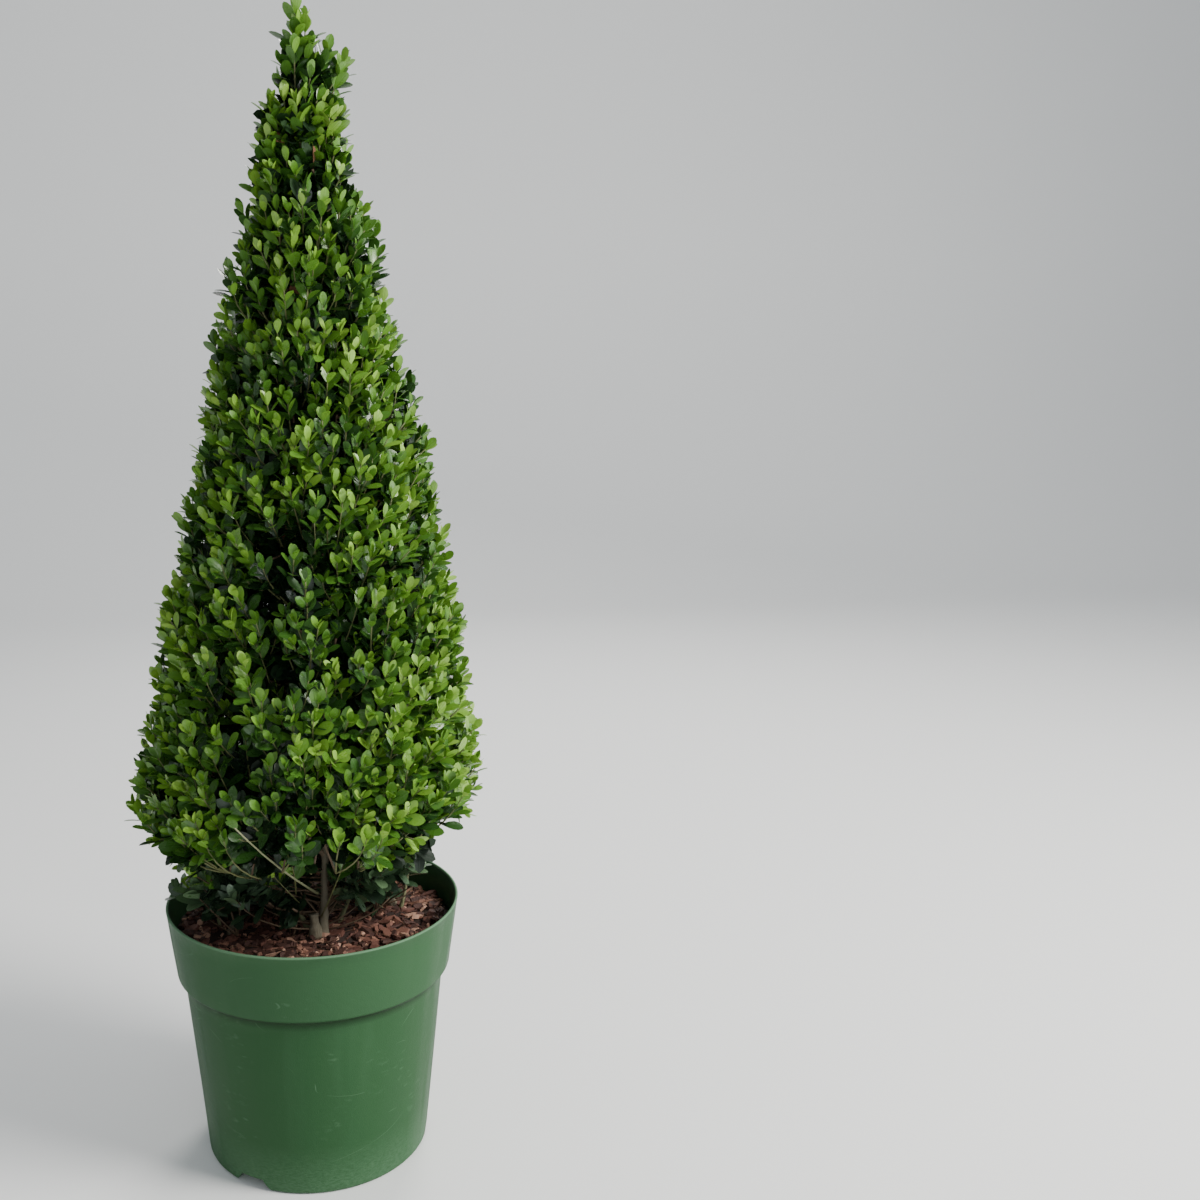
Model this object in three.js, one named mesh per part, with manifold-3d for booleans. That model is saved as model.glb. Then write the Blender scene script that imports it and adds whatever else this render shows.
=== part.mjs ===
// A small-leaved holly clipped to a tall pyramid, in a plastic nursery pot.
// Units are millimetres and +Z is up. The origin is the centre of the pot's flat underside,
// X runs to the right and Y away from the front. Everything is worked out from the sizes below.

import * as THREE from "three";
import { mergeVertices } from "three/addons/utils/BufferGeometryUtils.js";
import Module from "manifold-3d";

const wasm = await Module();
wasm.setup();

// Clear gap between pieces that touch on the real plant
const GAP = 0.3;
// Edges shorter than this are closed up
const SHORTEST = 0.02;
const DEGREE = Math.PI / 180;

// Pot: a moulded wall with a wider band round its top, and drain channels in its foot
const POT = {
  height: 195,
  rimRadius: 110,
  bandHeight: 50,
  bandRadius: 103.2,
  shoulder: 6,
  wallRadius: 97.8,
  footRadius: 84.4,
  corner: 3,
  wall: 2,
  floor: 3,
  segments: 40,
};
const CHANNEL = {
  count: 3,
  firstAzimuth: -126 * DEGREE,
  height: 8.5,
  footWidth: 31,
  roofWidth: 18,
  innerRadius: 58,
  holeRadius: 4.5,
  holeAt: 71,
};

// Stems end in a flat cut this far under the level of the mix
const SUNK = 2;

// Potting mix: its top is uneven, with pieces of bark on it
const MIX = { top: 172, roughness: 2.6, rings: 4, segments: 20, chips: 7, chipLength: 20 };

// Crown: a cone with slightly bulging sides that draws in under its widest ring
const CROWN = {
  top: 838,
  widest: 280,
  radius: 129,
  taper: 0.75,
  undercut: 24,
  undercutDrop: 26,
  lean: 6,
  overshoot: 8,
};

// Boughs and twigs climb as they run outwards, by this much for each unit of radius
const RISE = 0.45;

// Trunk: leans back from its foot in front of the centre, and ends inside the tip's foliage
const TRUNK = {
  foot: new THREE.Vector3(6, -26, MIX.top - 4),
  top: 776,
  bow: 14,
  baseRadius: 3,
  tipRadius: 1.1,
  flare: 4.2,
  flareHeight: 8,
  sides: 8,
  steps: 24,
};

// Stems beside the trunk: where each leaves the mix, and which skirt sector it carries
const STEMS = [
  { name: "left", foot: [-62, -8], sector: 2 },
  { name: "right", foot: [62, 27], sector: 0 },
  { name: "back", foot: [-14, 50], sector: 1 },
];
const STEM = { baseRadius: 2.6, tipRadius: 1.6, flare: 2, flareHeight: 6, sides: 6, steps: 7, sag: -0.03 };
const BOUGH = { baseRadius: 2, tipRadius: 1.3, sides: 5, steps: 3, sag: 0.06, drop: 0.6, stagger: 7 };

// Foliage tiers from the skirt up: the height of the tier's floor measured at the axis,
// how many masses share the ring, and the grid of twigs on each one's face
const TIERS = [
  { name: "skirt", floor: 203, masses: 5, columns: 4, rows: 2, turn: 36 },
  { name: "lower", floor: 303, masses: 5, columns: 4, rows: 2, turn: 0 },
  { name: "middle", floor: 403, masses: 4, columns: 3, rows: 2, turn: 10 },
  { name: "upper", floor: 502, masses: 3, columns: 3, rows: 2, turn: 55 },
  { name: "neck", floor: 597, masses: 2, columns: 3, rows: 2, turn: 20 },
  { name: "peak", floor: 687, masses: 2, columns: 3, rows: 2, turn: 110 },
];
const TIERS_TOP = 768;
const BOUGH_TIERS = 4;

// Sparse sprigs low under the skirt, each on a bough of its own, fullest on the left
const SPRIGS = [
  { name: "low_left", azimuth: 190, half: 28, reach: 104, floor: 148, ceiling: 203, columns: 3, rows: 2 },
  { name: "low_back", azimuth: 112, half: 40, reach: 94, floor: 158, ceiling: 203, columns: 3, rows: 1 },
  { name: "low_right", azimuth: 15, half: 32, reach: 88, floor: 158, ceiling: 203, columns: 2, rows: 1 },
  { name: "low_front", azimuth: 241, half: 22, reach: 68, floor: 158, ceiling: 203, columns: 2, rows: 1 },
];

// Tip: a slim core, a leader, and shoots round it, one of them standing well out on the right
const TIP = {
  stemTop: 812,
  stemRadius: 0.8,
  size: 0.6,
  over: 30,
  seed: 900,
  leader: 831,
  core: [
    [0, 779],
    [7, 783],
    [8.5, 790],
    [5.5, 802],
    [0, 808],
  ],
  shoots: [
    { azimuth: 5, r: 26, z: 793, size: 0.66 },
    { azimuth: 80, r: 17, z: 794, size: 0.66 },
    { azimuth: 150, r: 15, z: 802, size: 0.62 },
    { azimuth: 215, r: 18, z: 792, size: 0.66 },
    { azimuth: 290, r: 15, z: 804, size: 0.62 },
    { azimuth: 40, r: 19, z: 783, size: 0.6 },
    { azimuth: 122, r: 19, z: 785, size: 0.6 },
    { azimuth: 182, r: 20, z: 781, size: 0.6 },
    { azimuth: 252, r: 19, z: 784, size: 0.6 },
    { azimuth: 325, r: 20, z: 782, size: 0.6 },
  ],
};

// A mass keeps its core this far inside its own space and its leaves this far from its walls
const CORE = { depth: 15, share: 0.27, inset: 1.5, inner: 0.3, bump: 3.5, smallest: 7 };
const HEART = 0.42;
const EDGE = 0.6;

const TWIG = { baseRadius: 2, tipRadius: 1.2, sides: 3, splay: 50 * DEGREE, slant: 32 * DEGREE, spacing: 6 };
// Where the lone leaf and the pair sit along a twig, in a clipped mass and on an open sprig
const CLIPPED_PAIRS = [0.84, 0.94];
const OPEN_PAIRS = [0.52, 0.8];

// Where each mass starts in the row of repeatable numbers
const SEEDS = { tier: 113, mass: 17, sprig: 700 };
const LIMB_MARGIN = 2.5;
const POT_MARGIN = 4;
const LEAF = { length: 33, width: 21, thickness: 1.5, widest: 0.6, cup: 2, curl: 2.5, sink: 0.2 };

const COLOURS = {
  pot: 0x3f7048,
  mix: 0x4a2c22,
  bark: 0x7a6a52,
  leaf: 0x4f7d1e,
  oldLeaf: 0x33502b,
};

// A repeatable number from 0 to 1 for each whole number
function chance(k) {
  const s = Math.sin(k * 12.9898 + 4.1414) * 43758.5453;
  return s - Math.floor(s);
}

// The same, spread evenly from -1 to 1
function swing(k) {
  return 2 * chance(k) - 1;
}

// three.js geometry as a solid that can be joined and cut
function solid(geometry) {
  const plain = geometry.clone();
  plain.deleteAttribute("normal");
  plain.deleteAttribute("uv");
  const merged = mergeVertices(plain, 1e-4);
  return new wasm.Manifold(
    new wasm.Mesh({
      numProp: 3,
      vertProperties: merged.attributes.position.array,
      triVerts: new Uint32Array(merged.index.array),
    }),
  );
}

// The largest piece of a solid, without any loose scrap that cutting left
function largestOf(made) {
  return made.decompose().reduce((a, b) => (b.volume() > a.volume() ? b : a));
}

// A solid back as three.js geometry, its shortest edges closed up
function geometryOf(made) {
  const largest = largestOf(largestOf(made).simplify(SHORTEST));
  const mesh = largest.getMesh();
  const geometry = new THREE.BufferGeometry();
  geometry.setAttribute("position", new THREE.BufferAttribute(new Float32Array(mesh.vertProperties), 3));
  geometry.setIndex(new THREE.BufferAttribute(new Uint32Array(mesh.triVerts), 1));
  geometry.computeVertexNormals();
  return geometry;
}

function join(solids) {
  return solids.reduce((a, b) => a.add(b));
}

// Moves every vertex of a geometry by a rule
function reshape(geometry, rule) {
  const position = geometry.attributes.position;
  const p = new THREE.Vector3();
  for (let i = 0; i < position.count; i++) {
    p.fromBufferAttribute(position, i);
    rule(p);
    position.setXYZ(i, p.x, p.y, p.z);
  }
  return geometry;
}

// A closed profile of [radius, height] pairs turned about the Z axis
function turned(profile, segments) {
  const points = profile.map(([r, z]) => new THREE.Vector2(r, z));
  return solid(new THREE.LatheGeometry(points, segments).rotateX(Math.PI / 2));
}

// A trapezoid prism that points out from the axis along X, standing on the ground plane
function channelShape(footWidth, roofWidth, height, from, to) {
  const section = new THREE.Shape([
    new THREE.Vector2(-footWidth / 2, -1),
    new THREE.Vector2(footWidth / 2, -1),
    new THREE.Vector2(roofWidth / 2, height),
    new THREE.Vector2(-roofWidth / 2, height),
  ]);
  const prism = new THREE.ExtrudeGeometry(section, { depth: to - from, bevelEnabled: false });
  return prism.rotateX(Math.PI / 2).rotateZ(Math.PI / 2).translate(from, 0, 0);
}

function roundTheFoot(make) {
  const solids = [];
  for (let i = 0; i < CHANNEL.count; i++) {
    const azimuth = CHANNEL.firstAzimuth + (i * 2 * Math.PI) / CHANNEL.count;
    solids.push(solid(make().rotateZ(azimuth)));
  }
  return join(solids);
}

// Raised blocks that the drain channels run under, grown by a margin
function channelBlocks(margin) {
  const w = 2 * (POT.wall + margin);
  return roundTheFoot(() =>
    channelShape(
      CHANNEL.footWidth + w,
      CHANNEL.roofWidth + w,
      CHANNEL.height + POT.wall + margin,
      CHANNEL.innerRadius - POT.wall - margin,
      POT.wallRadius,
    ),
  );
}

// The inside of the pot as [radius, height] pairs from the floor's centre to a height near the rim
function insideProfile(margin, top) {
  const bandFoot = POT.height - POT.bandHeight;
  const inner = (outer) => outer - POT.wall - margin;
  const slope = (POT.rimRadius - POT.bandRadius) / POT.bandHeight;
  return [
    [0, POT.floor + margin],
    [inner(POT.footRadius), POT.floor + margin],
    [inner(POT.wallRadius), bandFoot - POT.shoulder],
    [inner(POT.bandRadius), bandFoot],
    [inner(POT.bandRadius + slope * (top - bandFoot)), top],
  ];
}

function makePot() {
  const bandFoot = POT.height - POT.bandHeight;
  const lip = POT.wall / 4;
  const outside = [
    [0, 0],
    [POT.footRadius - POT.corner, 0],
    [POT.footRadius, POT.corner],
    [POT.wallRadius, bandFoot - POT.shoulder],
    [POT.bandRadius, bandFoot],
    [POT.rimRadius, POT.height - lip],
    [POT.rimRadius - lip, POT.height],
    [0, POT.height],
  ];
  const above = POT.height + 5;
  const cavity = turned([...insideProfile(0, above), [0, above]], POT.segments);
  const channels = roundTheFoot(() =>
    channelShape(
      CHANNEL.footWidth,
      CHANNEL.roofWidth,
      CHANNEL.height,
      CHANNEL.innerRadius,
      POT.wallRadius,
    ),
  );
  const holes = roundTheFoot(() =>
    new THREE.CylinderGeometry(CHANNEL.holeRadius, CHANNEL.holeRadius, 4 * CHANNEL.height, 10)
      .rotateX(Math.PI / 2)
      .translate(CHANNEL.holeAt, 0, 0),
  );
  return turned(outside, POT.segments)
    .subtract(cavity.subtract(channelBlocks(0)))
    .subtract(channels)
    .subtract(holes);
}

// A flat piece of bark lying on the mix, tilted a little
function barkChip(i) {
  const azimuth = i * 2.4 + swing(i + 300) * 0.3;
  const radius = 92 * Math.sqrt((i + 0.6) / MIX.chips);
  const length = MIX.chipLength * (0.7 + 0.5 * chance(i + 310));
  return solid(
    new THREE.BoxGeometry(length, length * 0.55, 2.6)
      .rotateY(swing(i + 320) * 0.35)
      .rotateX(swing(i + 330) * 0.3)
      .rotateZ(chance(i + 340) * 3)
      .translate(radius * Math.cos(azimuth), radius * Math.sin(azimuth), MIX.top + 2),
  );
}

function makeMix(feet) {
  const top = insideProfile(2 * GAP, MIX.top);
  const rim = top[top.length - 1][0];
  const rings = [];
  for (let i = 1; i <= MIX.rings; i++) rings.push([rim * (1 - i / MIX.rings), MIX.top]);
  const points = [...top, ...rings].map(([r, z]) => new THREE.Vector2(r, z));
  const body = new THREE.LatheGeometry(points, MIX.segments).rotateX(Math.PI / 2);
  reshape(body, (p) => {
    const level = Math.abs(p.z - MIX.top) < 0.01 && Math.hypot(p.x, p.y) < rim - 1;
    const wave = Math.sin(p.x / 9 + 1) * Math.cos(p.y / 8) + 0.6 * Math.sin((p.x - p.y) / 5);
    if (level) p.z += MIX.roughness * wave;
  });
  let mix = solid(body);
  for (let i = 0; i < MIX.chips; i++) mix = mix.add(barkChip(i));
  const inside = turned([...insideProfile(2 * GAP, MIX.top + 14), [0, MIX.top + 14]], MIX.segments);
  mix = mix.intersect(inside).subtract(channelBlocks(2 * GAP));
  for (const { point, radius } of feet) {
    const pit = new THREE.CylinderGeometry(radius + 1.5, radius + 1.5, 40, 12).rotateX(Math.PI / 2);
    mix = mix.subtract(solid(pit.translate(point.x, point.y, point.z - GAP + 20)));
  }
  return mix;
}

// Middle of the crown at a height: it leans a little to the right halfway up
function crownAxis(z) {
  const t = THREE.MathUtils.clamp((z - CROWN.widest) / (CROWN.top - CROWN.widest), 0, 1);
  return CROWN.lean * Math.sin(Math.PI * t);
}

// Radius of the clipped surface at a height
function crownRadius(z) {
  if (z < CROWN.widest) {
    const drop = Math.min(1, (CROWN.widest - z) / CROWN.undercutDrop);
    return CROWN.radius - CROWN.undercut * drop * drop;
  }
  const left = Math.max(0, CROWN.top - z) / (CROWN.top - CROWN.widest);
  return CROWN.radius * Math.pow(left, CROWN.taper);
}

// Radius at which a surface that rises outwards from height h at the axis meets the clipped surface
function skinRadius(h) {
  let inside = 0;
  let outside = 2 * CROWN.radius;
  while (outside - inside > 0.01) {
    const r = 0.5 * (inside + outside);
    if (r < crownRadius(h + RISE * r)) inside = r;
    else outside = r;
  }
  return inside;
}

// A point of the crown from its azimuth, its height measured back to the axis, and its radius
function crownPoint(azimuth, h, r) {
  const z = h + RISE * r;
  return new THREE.Vector3(crownAxis(z) + r * Math.cos(azimuth), r * Math.sin(azimuth), z);
}

// The reverse of crownPoint
function crownPlace(p) {
  const x = p.x - crownAxis(p.z);
  const r = Math.hypot(x, p.y);
  return { azimuth: Math.atan2(p.y, x), h: p.z - RISE * r, r };
}

function trunkPoint(z) {
  const t = (z - TRUNK.foot.z) / (CROWN.top - TRUNK.foot.z);
  const back = Math.pow(1 - t, 3);
  const bow = TRUNK.bow * Math.sin(Math.PI * t) * Math.pow(1 - t, 2);
  return new THREE.Vector3(TRUNK.foot.x * (1 - t) + bow, TRUNK.foot.y * back, z);
}

// A tapering limb: centre(t) and radius(t) for t from 0 to 1, with flat ends. grow fattens it.
function limb({ centre, radius, sides, steps }, grow = 0) {
  const tube = new THREE.CylinderGeometry(1, 1, 1, sides, steps);
  const run = centre(1).sub(centre(0)).normalize();
  const across = Math.abs(run.z) > 0.9 ? new THREE.Vector3(0, 1, 0) : new THREE.Vector3(0, 0, 1);
  return reshape(tube, (p) => {
    const t = p.y + 0.5;
    const c = centre(t);
    const ahead = centre(Math.min(1, t + 0.01));
    const behind = centre(Math.max(0, t - 0.01));
    const along = ahead.sub(behind).normalize();
    const side = across.clone().cross(along).normalize();
    const up = along.clone().cross(side);
    const r = radius(t) + grow / Math.cos(Math.PI / sides);
    const beyond = t > 0.999 ? grow : 0;
    p.copy(c.addScaledVector(along, beyond).addScaledVector(side, r * p.x).addScaledVector(up, -r * p.z));
  });
}

const trunk = {
  centre: (t) => trunkPoint(TRUNK.foot.z + t * (TRUNK.top - TRUNK.foot.z)),
  radius: (t) => {
    const above = t * (TRUNK.top - TRUNK.foot.z);
    const taper = TRUNK.tipRadius + (TRUNK.baseRadius - TRUNK.tipRadius) * (1 - t);
    return taper + TRUNK.flare * Math.exp(-above / TRUNK.flareHeight);
  },
  sides: TRUNK.sides,
  steps: TRUNK.steps,
};

// A limb along a straight run from a to b that sags by a share of its length
function sagging(a, b, sag, radius, sides, steps) {
  const drop = sag * a.distanceTo(b);
  const centre = (t) => {
    const p = a.clone().lerp(b, t);
    p.z -= 4 * drop * t * (1 - t);
    return p;
  };
  return { centre, radius, sides, steps };
}

// The space of one mass of a tier: a wedge between two cones that rise outwards
function tierSpace(tier, index) {
  const { name, floor, masses, turn } = TIERS[tier];
  const ceiling = tier + 1 < TIERS.length ? TIERS[tier + 1].floor : TIERS_TOP;
  const half = Math.PI / masses;
  const azimuth = turn * DEGREE + 2 * index * half;
  const over = CROWN.overshoot;
  return { name: `${name}_${index + 1}`, azimuth, half, floor, ceiling, skin: skinRadius, over };
}

function sprigSpace({ name, azimuth, half, reach, floor, ceiling }) {
  const over = CROWN.overshoot;
  const skin = () => reach;
  return { name, azimuth: azimuth * DEGREE, half: half * DEGREE, floor, ceiling, skin, over };
}

// True if a point is inside the space, clear of its walls
function inSpace(space, p) {
  const { azimuth, h, r } = crownPlace(p);
  let turn = azimuth - space.azimuth;
  turn -= 2 * Math.PI * Math.round(turn / (2 * Math.PI));
  const side = space.half > 2 ? EDGE + 1 : r * Math.sin(space.half - Math.abs(turn));
  const skin = crownRadius(Math.max(p.z, CROWN.widest - 8)) + space.over;
  return side > EDGE && h > space.floor + EDGE && h < space.ceiling - EDGE && r < skin;
}

// True if a point is clear of the pot's rim and of the potting mix
function clearOfPot(p) {
  const inside = Math.hypot(p.x, p.y) < POT.bandRadius - POT.wall - POT_MARGIN;
  return p.z > POT.height + POT_MARGIN || (inside && p.z > MIX.top + 2 * POT_MARGIN);
}

// The dense inside of a clipped mass: a curved block a leaf's depth under the clipped surface
function core(space, seed) {
  const block = new THREE.BoxGeometry(2, 2, 2, 3, 3, 1);
  const middle = 0.5 * (space.floor + space.ceiling);
  const tall = 0.5 * (space.ceiling - space.floor) - CORE.inset;
  return reshape(block, (p) => {
    const h = middle + tall * p.y;
    const skin = skinRadius(h);
    const lump = CORE.bump * Math.sin(5 * p.x + seed) * Math.cos(4 * p.y + 2 * seed);
    const outer = skin - Math.min(CORE.depth, CORE.share * skin) + lump;
    const inner = Math.max(CORE.smallest, CORE.inner * skin);
    const r = p.z > 0 ? outer : inner;
    const turn = Math.min(space.half, Math.PI / 2 - 0.03) - CORE.inset / r;
    p.copy(crownPoint(space.azimuth + turn * p.x, h, r));
  });
}

// A leaf's own measures: it grows from a root along a direction, its face turned towards normal
function leafFrame(root, direction, normal, size) {
  const side = direction.clone().cross(normal).normalize();
  const face = side.clone().cross(direction);
  const at = (along, wing, lift) => {
    const p = root.clone().addScaledVector(direction, along);
    return p.addScaledVector(side, wing).addScaledVector(face, lift);
  };
  const length = LEAF.length * size;
  const half = (LEAF.width * size) / 2;
  return { at, length, half };
}

// One leaf of eight faces, cupped along its midrib with its tip curled back
function leafGeometry(root, direction, normal, size) {
  const { at, length, half } = leafFrame(root, direction, normal, size);
  return reshape(new THREE.OctahedronGeometry(1), (p) => {
    const thick = (p.z * LEAF.thickness) / 2;
    if (p.y > 0.5) p.copy(at(length, 0, -LEAF.curl * size));
    else if (p.y < -0.5) p.copy(at(-LEAF.sink, 0, 0));
    else p.copy(at(LEAF.widest * length, p.x * half, thick + LEAF.cup * size * (Math.abs(p.x) - 0.5)));
  });
}

function leafOutline(root, direction, normal, size) {
  const { at, length, half } = leafFrame(root, direction, normal, size);
  const wide = LEAF.widest * length;
  const corners = [at(length, 0, 0), at(wide, half, 0), at(wide, -half, 0), at(wide, 0, 0)];
  return [...corners, at(0.4 * length, 0, 0)];
}

// True if a point comes within a margin of a limb
function nearLimb({ centre, radius, steps }, p, margin) {
  const segment = new THREE.Line3();
  const nearest = new THREE.Vector3();
  for (let i = 0; i < steps; i++) {
    segment.set(centre(i / steps), centre((i + 1) / steps));
    const t = segment.closestPointToPointParameter(p, true);
    segment.at(t, nearest);
    if (nearest.distanceTo(p) < radius((i + t) / steps) + margin) return true;
  }
  return false;
}

// A twig from a to b that ends in a spray: a lone leaf, a pair crossed to it and one at the tip.
// A leaf that doesn't fit, or that comes too close to one of the taken points, is left off.
function spray(a, b, seed, size, pairs, fits, taken) {
  const along = b.clone().sub(a);
  const length = along.length();
  along.normalize();
  const twig = new THREE.CylinderGeometry(TWIG.tipRadius * size, TWIG.baseRadius * size, length, TWIG.sides);
  twig.translate(0, length / 2, 0);
  twig.applyQuaternion(new THREE.Quaternion().setFromUnitVectors(new THREE.Vector3(0, 1, 0), along));
  twig.translate(a.x, a.y, a.z);
  const solids = [solid(twig)];
  const add = (root, direction, normal, k) => {
    const scale = size * (0.92 + 0.16 * chance(k));
    const outline = leafOutline(root, direction, normal, scale);
    const crowded = outline.some((p) => taken.some((q) => p.distanceTo(q) < TWIG.spacing * size));
    if (crowded || !outline.every(fits)) return;
    taken.push(...outline.slice(0, 4));
    solids.push(solid(leafGeometry(root, direction, normal, scale)));
  };
  const upright = Math.abs(along.z) > 0.95 ? new THREE.Vector3(0, 1, 0) : new THREE.Vector3(0, 0, 1);
  const across = upright.cross(along).normalize();
  pairs.forEach((share, pair) => {
    const root = a.clone().addScaledVector(along, share * length);
    const side = across.clone().applyAxisAngle(along, 0.5 * swing(seed) + (pair * Math.PI) / 2);
    const signs = pair === 0 ? [Math.sign(swing(seed + 3))] : [1, -1];
    for (const sign of signs) {
      const direction = along.clone().multiplyScalar(Math.cos(TWIG.splay));
      direction.addScaledVector(side, sign * Math.sin(TWIG.splay));
      add(root, direction, along, seed + 7 * pair + sign);
    }
  });
  const tip = a.clone().addScaledVector(along, length - TWIG.baseRadius);
  const aslant = across.applyAxisAngle(along, Math.PI * chance(seed + 11));
  aslant.multiplyScalar(Math.sin(TWIG.slant)).addScaledVector(along, Math.cos(TWIG.slant));
  add(tip, aslant, along, seed + 20);
  return solids;
}

// Leaves get smaller towards the narrow top
function leafSize(skin) {
  return THREE.MathUtils.clamp(0.48 + skin / 230, 0.6, 1);
}

// Ends of the twigs over the face of a mass: a staggered grid with a little scatter
function twigEnds(space, { columns, rows }, seed) {
  const ends = [];
  for (let row = 0; row < rows; row++)
    for (let column = 0; column < columns; column++) {
      const k = seed + row * columns + column;
      const stagger = rows > 1 ? 0.24 * (row % 2) - 0.12 : 0;
      const u = (column + 0.5 + stagger + 0.12 * swing(k)) / columns;
      const v = (row + 0.5 + 0.14 * swing(k + 50)) / rows;
      const h = space.floor + v * (space.ceiling - space.floor);
      const skin = space.skin(h);
      const size = leafSize(skin);
      const r = skin - (0.62 + 0.1 * chance(k + 90)) * LEAF.length * size;
      const point = crownPoint(space.azimuth + (2 * u - 1) * space.half, h, r);
      ends.push({ point, size, seed: k });
    }
  return ends;
}

// Where the stem of a mass begins, and the heart of the mass where it ends and the twigs begin
function stemRun(space) {
  const h = 0.5 * (space.floor + space.ceiling);
  const skin = space.skin(h);
  const entry = crownPoint(space.azimuth, h - 2, Math.max(CORE.smallest, CORE.inner * skin) - 4);
  return { entry, heart: crownPoint(space.azimuth, h, HEART * skin) };
}

// A mass: its stem, its twigs with their leaves, and its core, cut clear of the limbs near it
function makeMass(space, grid, seed, near, dense) {
  const { entry, heart } = stemRun(space);
  const below = entry.clone().lerp(heart, -1 / entry.distanceTo(heart));
  const start = space.onTrunk ? trunkPoint(entry.z - BOUGH.drop * BOUGH.stagger) : below;
  const stemRadius = (t) => THREE.MathUtils.lerp(BOUGH.tipRadius, TWIG.baseRadius / 2, t);
  const stem = sagging(start, heart, 0, stemRadius, BOUGH.sides, 1);
  const pairs = dense ? CLIPPED_PAIRS : OPEN_PAIRS;
  const taken = [];
  const free = (p) => !near.some((l) => nearLimb(l, p, LIMB_MARGIN));
  const fits = (p) => inSpace(space, p) && clearOfPot(p) && free(p);
  let solids = [solid(limb(stem))];
  if (dense) solids.push(solid(core(space, seed)));
  for (const end of twigEnds(space, grid, seed))
    solids = solids.concat(spray(heart, end.point, end.seed, end.size, pairs, fits, taken));
  return near.reduce((mass, l) => mass.subtract(solid(limb(l, GAP))), join(solids));
}

// The tip: one stem from the end of the trunk with a small core, a leader and shoots round it
function makeTip() {
  const space = { azimuth: 0, half: Math.PI, floor: TIERS_TOP, ceiling: 900, over: TIP.over };
  const start = trunkPoint(TRUNK.top + GAP);
  const top = trunkPoint(TIP.stemTop);
  const stemRadius = (t) => THREE.MathUtils.lerp(TRUNK.tipRadius, TIP.stemRadius, t);
  const fits = (p) => inSpace(space, p) && !nearLimb(trunk, p, LIMB_MARGIN);
  const taken = [];
  let solids = [solid(limb(sagging(start, top, 0, stemRadius, BOUGH.sides, 2))), turned(TIP.core, 7)];
  const leader = trunkPoint(TIP.leader);
  const middle = start.clone().lerp(top, 0.5);
  solids = solids.concat(spray(middle, leader, TIP.seed, TIP.size, OPEN_PAIRS, fits, taken));
  TIP.shoots.forEach(({ azimuth, r, z, size }, i) => {
    const x = crownAxis(z) + r * Math.cos(azimuth * DEGREE);
    const end = new THREE.Vector3(x, r * Math.sin(azimuth * DEGREE), z);
    const from = start.clone().lerp(top, 0.08 + 0.05 * i);
    solids = solids.concat(spray(from, end, TIP.seed + 10 + 10 * i, size, OPEN_PAIRS, fits, taken));
  });
  return join(solids).subtract(solid(limb(trunk, GAP)));
}

// A bough from inside the trunk up and out to where its mass begins
function bough(space, index) {
  const { entry } = stemRun(space);
  const reach = Math.hypot(entry.x - trunkPoint(entry.z).x, entry.y - trunkPoint(entry.z).y);
  const rise = BOUGH.drop * reach + BOUGH.stagger * ((index * 1.854) % 3);
  const start = trunkPoint(Math.max(entry.z - rise, TRUNK.foot.z + 12 + 4 * index));
  const radius = (t) => THREE.MathUtils.lerp(BOUGH.baseRadius, BOUGH.tipRadius, t);
  return sagging(start, entry, BOUGH.sag, radius, BOUGH.sides, BOUGH.steps);
}

// A stem from the potting mix to the mass it carries
function sideStem({ foot }, space) {
  const start = new THREE.Vector3(foot[0], foot[1], MIX.top - 4);
  const { entry } = stemRun(space);
  const radius = (t) => {
    const above = t * start.distanceTo(entry);
    const taper = THREE.MathUtils.lerp(STEM.baseRadius, STEM.tipRadius, t);
    return taper + STEM.flare * Math.exp(-above / STEM.flareHeight);
  };
  return sagging(start, entry, STEM.sag, radius, STEM.sides, STEM.steps);
}

// A limb's foot cut flat at the height where it leaves the mix
function cutAtFoot(made, z) {
  const below = new THREE.BoxGeometry(400, 400, 40).translate(0, 0, z - 20);
  return made.subtract(solid(below));
}

const group = new THREE.Group();
group.name = "holly_pyramid";

function addNode(name, made, colour, roughness) {
  const material = new THREE.MeshStandardMaterial({ color: colour, roughness, metalness: 0 });
  const mesh = new THREE.Mesh(geometryOf(made), material);
  mesh.name = name;
  group.add(mesh);
}

const spaces = TIERS.flatMap(({ masses }, tier) =>
  Array.from({ length: masses }, (_, index) => {
    return { ...tierSpace(tier, index), tier, index, onTrunk: tier >= BOUGH_TIERS };
  }),
);
const sprigs = SPRIGS.map((sprig, index) => ({ ...sprigSpace(sprig), sprig, index }));
const stems = STEMS.map((stem) => {
  const space = spaces[stem.sector];
  return { name: `stem_${stem.name}`, carries: space.name, ...sideStem(stem, space) };
});
const carried = stems.map(({ carries }) => carries);
const onBoughs = [...sprigs, ...spaces.filter(({ onTrunk }) => !onTrunk)];
const boughs = onBoughs
  .filter(({ name }) => !carried.includes(name))
  .map((space) => ({ name: `bough_${space.name}`, carries: space.name, ...bough(space, space.index) }));
const carrier = (space) => [...stems, ...boughs].filter(({ carries }) => carries === space.name);

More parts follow.
